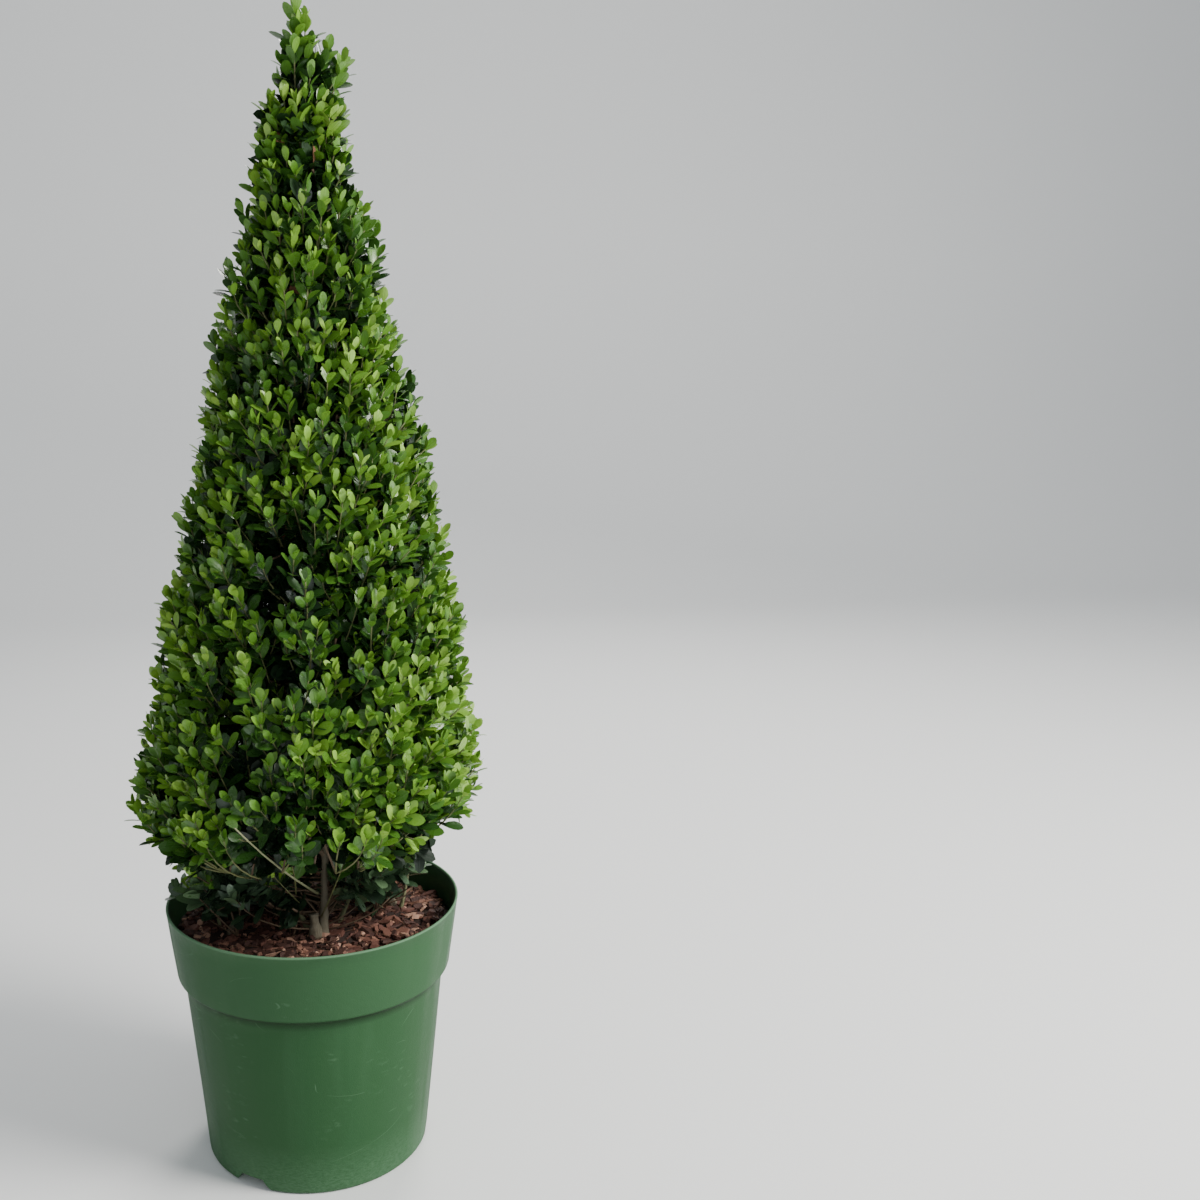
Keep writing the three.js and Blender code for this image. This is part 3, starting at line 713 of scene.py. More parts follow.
def plastic_group():
    """Streaks in the gloss, the strongest of scuffs, scratches, dust and painted highlights, and
    painted shade.
    """
    tree, given, made, place = new_group(
        "plastic wear and painted light", {"Roughness": 0.42, "Wear and painted highlight": 1.0}, ["Roughness", "Wear and painted highlight", "Painted shade", "Normal"]
    )
    streaks = add_noise(place, 60.0, 4.0, (1.0, 1.0, 0.08))
    scuffs = add_noise(place, 130.0, 7.0, (1.0, 1.0, 2.2))
    rubbed_places = add_range(add_noise(place, 26.0, 2.0), 0.55, 0.70)
    strongest = times(add_range(scuffs, 0.56, 0.72, 0.0, 0.26), rubbed_places)
    for mark in (
        times(scratch_lines(place, 8.0, 0.0020, 0.55), 0.45),
        times(scratch_lines(place, 22.0, 0.0050, 0.60), 0.45),
        times(foot_dust(place, add_noise(place, 330.0, 4.0, (1.0, 1.0, 2.8))), 0.42),
        add_range(streaks, 0.5, 0.8, 0.0, 0.07),
        # painted highlight: a faint pale line on the band's lower edge
        height_mask(place, 0.1442, 0.1452, 0.0, 0.09),
        # painted highlight: a pale line along the lip
        height_mask(place, 0.1930, 0.1944, 0.0, 0.85),
    ):
        strongest = add_math("MAXIMUM", strongest, mark)
    wear_and_highlight = times(strongest, given["Wear and painted highlight"])
    rough = add(given["Roughness"], add_range(streaks, 0.42, 0.72, -0.06, 0.12))
    relief = add(add_noise(place, 1500.0, 2.0), times(scuffs, 1.4))
    feed(made["Roughness"], add(rough, times(wear_and_highlight, 0.2)))
    feed(made["Wear and painted highlight"], wear_and_highlight)
    feed(made["Painted shade"], crease_painted_shade(place))
    feed(made["Normal"], add_bump(relief, times(given["Wear and painted highlight"], 0.22), 0.0005))
    return tree


def mix_colours(share, first, second):
    """A colour between two others, by a mask."""
    mix = share.id_data.nodes.new("ShaderNodeMix")
    mix.data_type = "RGBA"
    feed(mix.inputs["A"], first)
    feed(mix.inputs["B"], (*second, 1))
    feed(mix.inputs["Factor"], share)
    return mix.outputs["Result"]


GREEN = (0.027, 0.080, 0.030)
plastic, plastic_shader = new_material("green_plastic", GREEN, 0.46, 0.0, 0.08)
wear_and_painted_light = use_group(plastic_shader, plastic_group(), {"Roughness": 0.44, "Wear and painted highlight": 1.0}).outputs
# the pale green carries the real wear marks and the painted highlights
wear_and_highlight_green = mix_colours(wear_and_painted_light["Wear and painted highlight"], (*GREEN, 1), (0.12, 0.23, 0.13))
# painted shade: the crease under the band is mixed towards a near-black green
painted_shade_green = mix_colours(wear_and_painted_light["Painted shade"], wear_and_highlight_green, (0.006, 0.018, 0.006))
feed(plastic_shader.inputs["Base Color"], painted_shade_green)
sharpen(draft.data, 35)
draft.data.materials.clear()
add_piece("pot_shell", draft.data, [plastic], ["pot"])
bpy.data.objects.remove(draft)

# %% [markdown]
# ## The potting mix
# Growers fill the pot with composted bark: red-brown chips and crumbs, damp and dark between.
# The bed is one closed body with a lumpy top. Its lumps come from two sizes of noise.
# On it lie loose chips, each an uneven six-cornered plate, and thin torn fibres.

# %% The bed of the mix
def bed_height(x, y):
    at = stacked(x, y, 0.0)
    return MIX_TOP + 3.2 * noise(at, 22.0, 3) + 1.6 * noise(at, 8.0, 5) + 0.6 * noise(at, 3.2, 9)


def bed_mesh():
    """Rings on the uneven top, then the side of the plug, closed by a point at each pole."""
    sides = 150
    turn = around(sides)
    reach = np.linspace(2.5, MIX_RADIUS, 44)[:, None]
    x, y = reach * np.cos(turn), reach * np.sin(turn)
    top = stacked(x, y, bed_height(x, y))
    plug = [(band_radius(z) - 3, z) for z in (168.0, 150.0)] + [(WALL_RADIUS - 3.4, 139.0)]
    plug += [(wall_radius(z) - 3, z) for z in (80.0, MIX_FOOT)] + [(40.0, MIX_FOOT)]
    rings = np.concatenate([top, spin(np.array(plug), sides)])
    centre_height = bed_height(np.zeros(1), np.zeros(1))[0]
    points, (walls, *fans) = ring_body(rings, [0, 0, centre_height], [0, 0, MIX_FOOT])
    faces = [walls[:, [0, 3, 2, 1]]] + [fan[:, [1, 0, 2]] for fan in fans]
    return make_mesh("mix_bed", points, faces)


bed = bed_mesh()
print("bed of the mix:", len(bed.vertices), "points")


# %% Chips and fibres of bark
def turned_frames(azimuth, tilt, roll):
    """For each item, three unit axes: turned about Z, then tipped about its own two flat axes."""
    ca, sa = np.cos(azimuth), np.sin(azimuth)
    ct, st = np.cos(tilt), np.sin(tilt)
    cr, sr = np.cos(roll), np.sin(roll)
    long = stacked(ca * ct, sa * ct, st)
    flat = stacked(-sa, ca, 0.0)
    up = np.cross(long, flat)
    return long, flat * cr[:, None] + up * sr[:, None], up * cr[:, None] - flat * sr[:, None]


def scatter(count, seed, reach):
    """Points spread evenly over a disc: each ring of the spiral has the same share of its area."""
    k = np.arange(count)
    azimuth = k * GOLDEN_ANGLE + 0.8 * (chance(k + seed) - 0.5)
    r = reach * np.sqrt((k + chance(k + seed + 7000)) / count)
    return r * np.cos(azimuth), r * np.sin(azimuth)


def shrink_to(reach, x, y):
    """The factor that brings a point at x, y within reach of the axis."""
    return np.minimum(1.0, reach / np.maximum(np.hypot(x, y), 1e-6))


CHIPS = 1500
FIBRES = 420
SHADES = 5


def chip_points():
    k = np.arange(CHIPS)
    long_size = 4.5 + 14.0 * chance(k + 1000) ** 1.7
    wide = long_size * (0.32 + 0.34 * chance(k + 3000))
    thick = 0.9 + 2.4 * chance(k + 5000)
    x, y = scatter(CHIPS, 40, 103.0)
    shrink = shrink_to(MIX_RADIUS - long_size * 0.62, x, y)
    x, y = x * shrink, y * shrink
    steep = 0.7 + 0.8 * (long_size < 9)
    tilt = steep * (chance(k + 9000) - 0.5)
    roll = 1.3 * steep * (chance(k + 11000) - 0.5)
    long, flat, up = turned_frames(FULL_TURN * chance(k + 13000), tilt, roll)
    z = bed_height(x, y) + 0.25 + 1.3 * chance(k + 15000)
    corner = np.arange(6) * math.pi / 3
    ragged = 0.72 + 0.5 * chance(k[:, None] * 6 + np.arange(6) + 17000)
    a = 0.5 * long_size[:, None] * np.cos(corner) * ragged
    b = 0.5 * wide[:, None] * np.sin(corner) * ragged
    rim = a[..., None] * long[:, None] + b[..., None] * flat[:, None]
    edge = 0.5 * thick[:, None] + 0.25 * (chance(k[:, None] * 6 + 31000) - 0.5)
    bent = up[:, None] * edge[..., None]
    middle = stacked(x, y, z)[:, None]
    return np.concatenate([middle + rim * 0.88 + bent, middle + rim - bent], axis=1)


def chip_mesh():
    """Points, faces and shades of all chips: six walls and two caps to each."""
    walls = wall_faces(2, 6)[:, [3, 2, 1, 0]]
    caps = np.array([[0, 1, 2, 3, 4, 5], [11, 10, 9, 8, 7, 6]])
    faces = repeated([walls, caps], 12, CHIPS)
    shade = np.floor(SHADES * chance(np.arange(CHIPS) * 3 + 21000) ** 2.0).astype(int)
    return chip_points().reshape(-1, 3), faces, shade_slots(shade, faces)


chip_parts = chip_mesh()
print("chips:", CHIPS, "in", SHADES, "shades")

# %% [markdown]
# ## Tubes, for stems and twigs
# Every stem and twig is a tube swept along a curve, thinner towards its tip. All tubes of a kind
# are built at once: rings of points round each curve, faces between the rings, and flat ends.
# A curve is given by its start, its end, and how far its middle is pushed aside.

# %% Sweep tubes along curves
def unit(v):
    return v / np.maximum(np.linalg.norm(v, axis=-1, keepdims=True), 1e-9)


def curve_at(start, end, push, t):
    """Points at shares t of a curve: the straight run, plus push times 4 t (1 - t)."""
    t = np.asarray(t, float)[..., None]
    return start + (end - start) * t + push * (4 * t * (1 - t))


def curves_at(starts, ends, pushes, t):
    """Points on many curves, at the same shares t of each, or at a row of shares for each."""
    return curve_at(starts[:, None], ends[:, None], pushes[:, None], t)


def ring_frames(centres):
    """Two unit axes across each curve, for centre points of shape (curves, rings, 3)."""
    along = unit(np.gradient(centres, axis=1))
    run = unit(centres[:, -1] - centres[:, 0])
    upright = np.abs(run[:, 2:]) > 0.9
    across = np.where(upright, np.array([[0.0, 1.0, 0.0]]), np.array([[0.0, 0.0, 1.0]]))
    side = unit(np.cross(across[:, None], along))
    return side, np.cross(along, side)


def tube_faces(count, rings, sides):
    i = np.arange(sides)
    caps = np.array([i[::-1], i + sides * (rings - 1)])
    return repeated([wall_faces(rings, sides), caps], rings * sides, count)


def tubes(centres, radii, sides):
    """Rings round each curve: centres (curves, rings, 3) and radii (curves, rings[, sides])."""
    count, rings = centres.shape[:2]
    side, up = ring_frames(centres)
    turn = around(sides)
    spread = np.cos(turn)[:, None] * side[:, :, None] + np.sin(turn)[:, None] * up[:, :, None]
    radii = radii if radii.ndim == 3 else radii[:, :, None]
    points = centres[:, :, None] + radii[..., None] * spread
    return points.reshape(-1, 3), tube_faces(count, rings, sides)


def fibre_parts():
    k = np.arange(FIBRES)
    x, y = scatter(FIBRES, 90, 92.0)
    start = stacked(x, y, bed_height(x, y) + 0.8 + 2.0 * chance(k + 300))
    heading = FULL_TURN * chance(k + 400)
    length = 6 + 16 * chance(k + 500) ** 2
    rise = 0.35 * (chance(k + 600) - 0.35)
    end = start + length[:, None] * stacked(np.cos(heading), np.sin(heading), rise)
    end[:, :2] *= shrink_to(102.0, end[:, 0], end[:, 1])[:, None]
    push = 1.6 * loose(k, 700, 800, 900)
    centres = curves_at(start, end, push, np.linspace(0, 1, 5))
    radii = (0.22 + 0.3 * chance(k + 1100))[:, None] * np.linspace(1, 0.4, 5)
    return tubes(centres, radii, 3)


print("fibres:", FIBRES)

# %% [markdown]
# ## Dark, damp bark
# The chips differ in colour from orange-red to nearly black, piece by piece. So they take five
# plain colours by turns, and share one relief of ridges and patches.

# %% Materials of the mix, and its pieces
CHIP_COLOURS = [
    (0.058, 0.021, 0.014),
    (0.112, 0.041, 0.027),
    (0.175, 0.073, 0.048),
    (0.260, 0.124, 0.082),
    (0.420, 0.235, 0.160),
]


def bark_group():
    tree, given, made, place = new_group(
        "bark relief", {"Roughness": 0.85, "Relief": 0.6}, ["Roughness", "Normal"]
    )
    patches = add_noise(place, 220.0)
    height = add(add_noise(place, 900.0, 5.0, (1.0, 1.0, 0.25)), times(patches, 0.7))
    feed(made["Roughness"], add(given["Roughness"], add_range(patches, 0.3, 0.7, -0.15, 0.1)))
    feed(made["Normal"], add_bump(height, given["Relief"], 0.0008))
    return tree


BARK = bark_group()


def bark_material(name, colour, roughness, relief):
    material, shader = new_material(name, colour, roughness)
    use_group(shader, BARK, {"Roughness": roughness, "Relief": relief})
    return material


CHIP_MATERIALS = [bark_material(f"bark_chip_{i}", c, 0.8, 0.7) for i, c in enumerate(CHIP_COLOURS)]
DAMP = bark_material("damp_mix", (0.026, 0.013, 0.009), 0.9, 1.0)
FIBRE = bark_material("bark_fibre", (0.100, 0.048, 0.025), 0.85, 0.4)

add_piece("mix_bed", bed, [DAMP], ["potting_mix"])
chips = make_mesh("bark_chips", *chip_parts)
sharpen(chips, 20)
add_piece("bark_chips", chips, CHIP_MATERIALS, [])
fibres = make_mesh("bark_fibres", *fibre_parts())
add_piece("bark_fibres", fibres, [FIBRE], [])

# %% [markdown]
# ## The clipped cone
# Shears follow a surface, and every tip ends on it. We need its radius at any height, and the
# reverse: how far out along a climbing twig one meets it. No tidy formula gives the second, so
# we halve an interval again and again until it is a hundredth of a millimetre wide.

# %% The clipped surface
def crown_axis(z):
    return LEAN * np.sin(math.pi * ramp(z, WIDEST, CROWN_TOP))


def crown_radius(z):
    drop = np.clip((WIDEST - z) / UNDERCUT_DROP, 0, 1)
    return WIDEST_RADIUS * ramp(z, CROWN_TOP, WIDEST) ** TAPER - UNDERCUT * drop**2


def skin_radius(h):
    inside = np.zeros_like(np.asarray(h, float))
    outside = inside + 2 * WIDEST_RADIUS
    for _ in range(15):
        r = (inside + outside) / 2
        below = r < crown_radius(h + RISE * r)
        inside = np.where(below, r, inside)
        outside = np.where(below, outside, r)
    return inside


def about_axis(azimuth, z, r):
    return stacked(crown_axis(z) + r * np.cos(azimuth), r * np.sin(azimuth), z)


def crown_point(azimuth, h, r):
    return about_axis(azimuth, h + RISE * r, r)


def trunk_point(z):
    z = np.asarray(z, float)
    t = (z - TRUNK_FOOT[2]) / (CROWN_TOP - TRUNK_FOOT[2])
    x = TRUNK_FOOT[0] * (1 - t) + TRUNK_BOW * np.sin(math.pi * t) * (1 - t) ** 2
    return stacked(x, TRUNK_FOOT[1] * (1 - t) ** 3, z)


print("skin radius at heights 203, 403, 597:", skin_radius(np.array([203, 403, 597])).round(1))

# %% [markdown]
# ## Spaces of the foliage
# The crown is shared out like a cake with several layers. Each slice has a stem that runs from
# its bough to the heart of the slice, and everything in it grows from that stem.
# Under the cake hang a few open sprigs, each with a space of its own.

# %% List the spaces
def tier_spaces():
    floors = [tier["floor"] for tier in TIERS] + [TIERS_TOP]
    made = []
    for level, tier in enumerate(TIERS):
        for index in range(tier["masses"]):
            half = math.pi / tier["masses"]
            space = {"name": f"{tier['name']}_{index + 1}", "level": level, "index": index}
            space.update(azimuth=math.radians(tier["turn"]) + 2 * index * half, half=half)
            space.update(floor=floors[level], ceiling=floors[level + 1], reach=None)
            space.update(columns=tier["columns"], rows=tier["rows"], seed=113 * level + 17 * index)
            made.append(space)
    return made


def sprig_spaces():
    made = []
    for index, sprig in enumerate(SPRIGS):
        columns, rows = sprig["grid"]
        space = dict(sprig, level=-1, index=index, columns=columns, rows=rows, seed=700 + 17 * index)
        space.update(azimuth=math.radians(sprig["azimuth"]), half=math.radians(sprig["half"]))
        space.update(ceiling=SPRIG_CEILING)
        made.append(space)
    return made


def space_skin(space, h):
    if space["reach"] is None:
        return skin_radius(h)
    return np.full_like(np.asarray(h, float), space["reach"])


def stem_run(space):
    """Where the stem of a space begins, and its heart, where the twigs leave it."""
    h = 0.5 * (space["floor"] + space["ceiling"])
    skin = float(space_skin(space, np.array(h)))
    entry = crown_point(space["azimuth"], h - 2, max(SMALLEST, INNER * skin) - 4)
    return entry, crown_point(space["azimuth"], h, HEART * skin)


spaces = tier_spaces()
sprigs = sprig_spaces()
print("spaces:", [space["name"] for space in spaces + sprigs])

# %% [markdown]
# ## Trunk, stems and boughs
# Holly bark is smooth and pale grey-brown, with fine warts and a slight swelling at the foot.
# Each limb follows the same curve as in the fixed model, but with many more sides, so that real
# lumps and ridges can be pushed into its surface. The trunk has the most sides, because its foot
# is seen from near. The numbers of a limb are the steps along it, its radius at the foot and at
# the tip, the swelling at its foot, its sides, and how strong its relief is.

# %% Limbs with relief
STEM = (60, 2.6, 1.6, 2.0, 14, 0.16)
STEM_IN_HEART = (12, 1.6, 1.0, 0, 8, 0.12)
BOUGH = (26, 2.0, 1.35, 0.4, 10, 0.14)
BOUGH_IN_HEART = (12, 1.35, 1.0, 0, 8, 0.12)
SPUR = (14, 1.3, 0.9, 0, 8, 0.12)
STRAIGHT = (0, 0, 0)


def bark_radii(centres, radii, sides, strength):
    """Radii that vary round each ring: knots along the limb, and ridges that run with it."""
    turn = around(sides)
    knots = noise(centres * (1, 1, 1.6), 7.0, 11)[..., None]
    ring = 3.0 * stacked(np.cos(turn), np.sin(turn), 0.0)
    at = centres[:, :, None] * 0.22 + ring
    ridges = noise(at, 1.3, 17)
    return radii[:, :, None] * (1 + strength * (0.55 * knots + 0.45 * ridges))


def trunk_limb():
    z = np.concatenate([np.linspace(STEM_FOOT, 260, 91), np.linspace(262, TRUNK_TOP - 0.5, 230)])
    t = (z - TRUNK_FOOT[2]) / (TRUNK_TOP - TRUNK_FOOT[2])
    radius = 1.1 + 1.9 * (1 - t) + 4.2 * np.exp(-(z - TRUNK_FOOT[2]) / 8.0)
    centres = trunk_point(z)[None]
    return tubes(centres, bark_radii(centres, radius[None], 24, 0.16), 24)


def single_limb(start, end, push, steps, base, tip, flare, sides, strength):
    """One tapering limb; flare is the extra radius at its foot, gone within 20 mm or so."""
    start, end, push = (np.array(point, float) for point in (start, end, push))
    t = np.linspace(0, 1, steps)
    centres = curve_at(start, end, push, t)[None]
    radius = base + (tip - base) * t + flare * np.exp(-t * np.linalg.norm(end - start) / 6.0)
    return tubes(centres, bark_radii(centres, radius[None], sides, strength), sides)


def stem_limbs():
    made = []
    for _, foot, sector in STEMS:
        entry, _ = stem_run(spaces[sector])
        start = np.array([*foot, STEM_FOOT])
        lift = np.array([0, 0, 0.03 * np.linalg.norm(entry - start)])
        made.append(single_limb(start, entry, lift, *STEM))
    return made


def bough_run(space):
    """Where a bough leaves the trunk and enters its mass, and the heart of the mass."""
    entry, heart = stem_run(space)
    at = trunk_point(entry[2])
    reach = math.hypot(entry[0] - at[0], entry[1] - at[1])
    rise = 0.6 * reach + 7 * ((space["index"] * 1.854) % 3)
    start = trunk_point(max(entry[2] - rise, TRUNK_FOOT[2] + 12 + 4 * space["index"]))
    return start, entry, heart


carried = {sector for _, _, sector in STEMS}
bough_spaces = [s for i, s in enumerate(spaces) if s["level"] < BOUGH_TIERS and i not in carried]
bough_spaces = sprigs + bough_spaces


def bough_limbs():
    made = []
    for space in bough_spaces:
        start, entry, heart = bough_run(space)
        sag = np.array([0, 0, -0.06 * np.linalg.norm(entry - start)])
        made.append(single_limb(start, entry, sag, *BOUGH))
        made.append(single_limb(entry, heart, STRAIGHT, *BOUGH_IN_HEART))
    return made


def heart_limbs():
    """The stems' runs into their masses, and spurs from the trunk to the masses without a bough."""
    made = []
    for i, space in enumerate(spaces):
        entry, heart = stem_run(space)
        if i in carried:
            made.append(single_limb(entry, heart, STRAIGHT, *STEM_IN_HEART))
        if space["level"] >= BOUGH_TIERS:
            made.append(single_limb(trunk_point(entry[2] - 5), heart, STRAIGHT, *SPUR))
    return made


print("boughs:", len(bough_spaces))

# %% [markdown]
# ## Extra stems at the foot
# In the photograph a few thinner stems stand beside the trunk and the side stems. They come up
# through the mix as suckers do, and each has a foot, a tip, a push of its middle, and a radius.
# One long pale branch leaves the trunk and reaches left across the dark old leaves. A cut stub
# stands by the trunk, and a bare twig arches over the mix.

# %% Suckers and the long pale branch
SUCKERS = [
    ((-1.7, -14.4), (-34, -22, 262), (-6, 0, 8), 1.9),
    ((16.8, 1.2), (46, -16, 268), (6, 0, 6), 1.6),
    ((66.7, 21.0), (74, 2, 262), (4, 2, 0), 1.5),
    ((56.5, 34.0), (40, 40, 266), (4, 4, 0), 1.6),
    ((-85.0, 40.0), (-72, 20, 262), (-5, 3, 0), 1.5),
    ((-69.5, 4.0), (-78, -12, 258), (-3, -3, 0), 1.3),
]
PALE_START = np.array([[3.0, -26.0, 206.0]])
PALE_END = np.array([[-50.0, -125.0, 295.4]])
PALE_HEADING = np.array([[-0.40, -0.58, 0.71]])
LOOK_DOWN = 0.4
BRANCH_ROOM = 9.0
PALE_BRANCH = (40, 0.9, 0.5, 0.5, 9, 0.15)
ARCH_RUN = ((30, 6, 165), (56, 24, 165), (2, 0, 11))
ARCH = (30, 1.6, 1.2, 0.5, 9, 0.2)
STUB_RUN = ((1.6, -27.0, 166.0), (-0.4, -28.0, 191.0), (-0.5, 0.0, 0.0))
STUB = (30, 5.0, 3.4, 2.4, 18, 0.5)


def shoot_push(base, tip, heading):
    """The push that makes a curve from base to tip end along the heading."""
    reach = np.linalg.norm(tip - base, axis=-1, keepdims=True)
    return 0.5 * (tip - 0.45 * reach * heading - 0.5 * (base + tip))


def seen_height(points):
    """Height as the camera sees it: what stands further forward looks lower."""
    return points[..., 2] + LOOK_DOWN * points[..., 1]


def hides_branch(points, room):
    """True for places in front of the pale branch, nearer to its line in the picture than room."""
    push = shoot_push(PALE_START, PALE_END, PALE_HEADING)
    along = curve_at(PALE_START, PALE_END, push, np.linspace(0.08, 0.97, 24))
    away = points[:, None] - along[None]
    aside = np.hypot(away[..., 0], seen_height(away))
    return np.any((aside < room) & (away[..., 1] < 6), axis=1)


def sucker_limbs():
    made = []
    for foot, end, push, base in SUCKERS:
        made.append(single_limb((*foot, SUCKER_FOOT), end, push, 40, base, 0.8, base, 9, 0.18))
    push = shoot_push(PALE_START, PALE_END, PALE_HEADING)[0]
    made.append(single_limb(PALE_START[0], PALE_END[0], push, *PALE_BRANCH))
    return made + [single_limb(*ARCH_RUN, *ARCH)]


BARK_TRUNK = bark_material("trunk_bark", (0.165, 0.142, 0.096), 0.82, 0.9)
BARK_BOUGH = bark_material("bough_bark", (0.170, 0.125, 0.080), 0.78, 0.45)
BARK_SUCKER = bark_material("sucker_bark", (0.240, 0.250, 0.130), 0.75, 0.45)

stem_names = [f"stem_{name}" for name, _, _ in STEMS]
bough_names = [f"bough_{space['name']}" for space in bough_spaces]
limb_pieces = [
    ("trunk_bark", [trunk_limb(), single_limb(*STUB_RUN, *STUB)], BARK_TRUNK, ["trunk"]),
    ("stems_bark", stem_limbs(), BARK_TRUNK, stem_names),
    ("boughs_bark", bough_limbs(), BARK_BOUGH, bough_names),
    ("heart_stems", heart_limbs(), BARK_BOUGH, []),
    ("suckers_bark", sucker_limbs(), BARK_SUCKER, []),
]
for name, parts, material, nodes in limb_pieces:
    add_piece(name, make_mesh(name, *merge(parts)), [material], nodes)

# %% [markdown]
# ## Leaves as arrays
# A leaf of this holly is small, thick and glossy, rounded, and widest past its middle.
# Each is a strip of a few faces with its own outline. Its edges are lifted into a shallow trough
# and its tip bends back. Leaves deep inside the crown use a plainer strip with fewer faces.
# A batch of leaves is a group of six arrays: roots, directions, upper sides, lengths, widths and
# shades. Four of them have names, by which later cells pick them out.

# %% Leaf strips
OUTER_LEAF = [(0.14, 0.36), (0.34, 0.76), (0.57, 1.0), (0.78, 0.90), (0.93, 0.50)]
INNER_LEAF = [(0.22, 0.52), (0.56, 1.0), (0.85, 0.76)]
ROOT, DIRECTION, LENGTH, SHADE = 0, 1, 3, 5


def leaf_strip(stations):
    """Shares along and across for each point of a leaf, and its faces, from root to tip."""
    along = [0.0] + [v for v, _ in stations for _ in range(3)] + [1.0]
    across = [0.0] + [side * w for _, w in stations for side in (-1, 0, 1)] + [0.0]
    last = len(along) - 1
    quads = []
    for row in range(len(stations) - 1):
        k = 1 + 3 * row
        quads += [[k, k + 1, k + 4, k + 3], [k + 1, k + 2, k + 5, k + 4]]
    ends = [[0, 2, 1], [0, 3, 2], [last - 3, last - 2, last], [last - 2, last - 1, last]]
    return np.array(along), np.array(across), np.array(quads), np.array(ends)


def leaves(strip, root, direction, upper, length, width, cup=0.16, curl=0.10):
    """All leaves of a kind: roots, directions and upper sides as (n, 3), sizes as (n,)."""
    along, across, quads, ends = strip
    direction = unit(direction)
    side = unit(np.cross(direction, upper))
    normal = np.cross(side, direction)
    half = 0.5 * width[:, None] * across
    rise = cup * np.abs(half) - curl * length[:, None] * along**2
    points = root[:, None] + (length[:, None] * along)[..., None] * direction[:, None]
    points = points + half[..., None] * side[:, None] + rise[..., None] * normal[:, None]
    faces = repeated([quads, ends], len(along), len(root))
    uv = stacked(0.5 + 0.5 * across, along)
    return points.reshape(-1, 3), faces, np.tile(uv, (len(root), 1))


def leaf_mesh(name, strip, batch, cup=0.16, curl=0.10):
    """A mesh of leaves from a batch: roots, directions, upper sides, lengths, widths, shades."""
    *places, shade = batch
    points, faces, uv = leaves(strip, *places, cup, curl)
    return make_mesh(name, points, faces, shade_slots(shade, faces), uv)


OUTER = leaf_strip(OUTER_LEAF)
INNER_STRIP = leaf_strip(INNER_LEAF)
print("faces of a leaf:", [len(strip[2]) + len(strip[3]) for strip in (OUTER, INNER_STRIP)])

# %% [markdown]
# ## From the heart to the skin
# The crown branches three times. Twigs of the first order run from the heart of a space to an
# even grid near its face. Twigs of the second order leave them for a finer grid of knots, some
# 40 mm under the skin. Leafy shoots start at the knots and turn up as they reach light.
# Each branch starts at the nearest point of the order before it, so nothing floats.

# %% First and second order
KNOT_SPACING = 26.0
KNOT_DEPTH = 34.0


def leaf_size(skin):
    return np.clip(0.48 + skin / 230, 0.6, 1)


def swing(k):
    return 2 * chance(k) - 1


def twig_ends(space):
    """The source's own grid of twig ends over the face of a space."""
    columns, rows = space["columns"], space["rows"]
    row, column = np.divmod(np.arange(rows * columns), columns)
    k = space["seed"] + row * columns + column
    stagger = 0.24 * (row % 2) - 0.12 if rows > 1 else 0.0
    u = (column + 0.5 + stagger + 0.12 * swing(k)) / columns
    v = (row + 0.5 + 0.14 * swing(k + 50)) / rows
    h = space["floor"] + v * (space["ceiling"] - space["floor"])
    skin = space_skin(space, h)
    r = skin - (0.62 + 0.1 * chance(k + 90)) * 33 * leaf_size(skin)
    return crown_point(space["azimuth"] + (2 * u - 1) * space["half"], h, r)


def face_grid(space, spacing, seed, spread=1.0):
    """Azimuths and heights spread over the face of a space, about spacing millimetres apart."""
    middle = float(space_skin(space, np.array(0.5 * (space["floor"] + space["ceiling"]))))
    columns = max(1, round(2 * space["half"] * middle / spacing))
    rows = max(1, round(0.95 * (space["ceiling"] - space["floor"]) / spacing))
    row, column = np.divmod(np.arange(rows * columns), columns)
    k = seed + space["seed"] * 31 + np.arange(rows * columns)
    u = (column + 0.5 + 0.25 * (2 * (row % 2) - 1) + 0.55 * (chance(k) - 0.5)) / columns
    v = (row + 0.5 + 0.6 * (chance(k + 4000) - 0.5)) / rows
    azimuth = space["azimuth"] + spread * (2 * u - 1) * space["half"]
    return azimuth, space["floor"] + v * (space["ceiling"] - space["floor"]), k


def nearest(points, targets):
    """For each target, the nearest of the points."""
    away = np.linalg.norm(targets[:, None] - points[None], axis=-1)
    return points[np.argmin(away, axis=1)]


def first_order(space):
    _, heart = stem_run(space)
    ends = twig_ends(space)
    return np.repeat(heart[None], len(ends), axis=0), ends


def knots(space):
    azimuth, h, k = face_grid(space, KNOT_SPACING, 100, 0.96)
    skin = space_skin(space, h)
    depth = np.minimum(KNOT_DEPTH + 10 * chance(k + 200), 0.62 * skin)
    return crown_point(azimuth, h - 8, skin - depth)


def second_order(space):
    starts, ends = first_order(space)
    shares = np.array([0.3, 0.45, 0.6, 0.75, 0.9])
    along = curves_at(starts, ends, 0 * ends, shares)
    heart = starts[:1]
    targets = knots(space)
    return nearest(np.concatenate([heart, along.reshape(-1, 3)]), targets), targets


orders = {space["name"]: (first_order(space), second_order(space)) for space in spaces + sprigs}


def knots_of(name):
    """The knots of a space, which are the ends of its second-order twigs."""
    return orders[name][1][1]


print("first-order twigs:", sum(len(a[1]) for a, _ in orders.values()))
print("second-order twigs:", sum(len(b[1]) for _, b in orders.values()))

# %% [markdown]
# ## Leafy shoots
# New growth stands out from the clipped face and up towards the light, steeper near the top.
# Where the shears passed last, tips end on the face, give or take a few millimetres.
# Some places stay thinner: a slow noise takes away a few shoots in patches, and there the
# darker inside of the crown shows. The deepest gaps in front are listed as ellipses: their
# middle across and in height as the camera sees it, their half width and their half height.

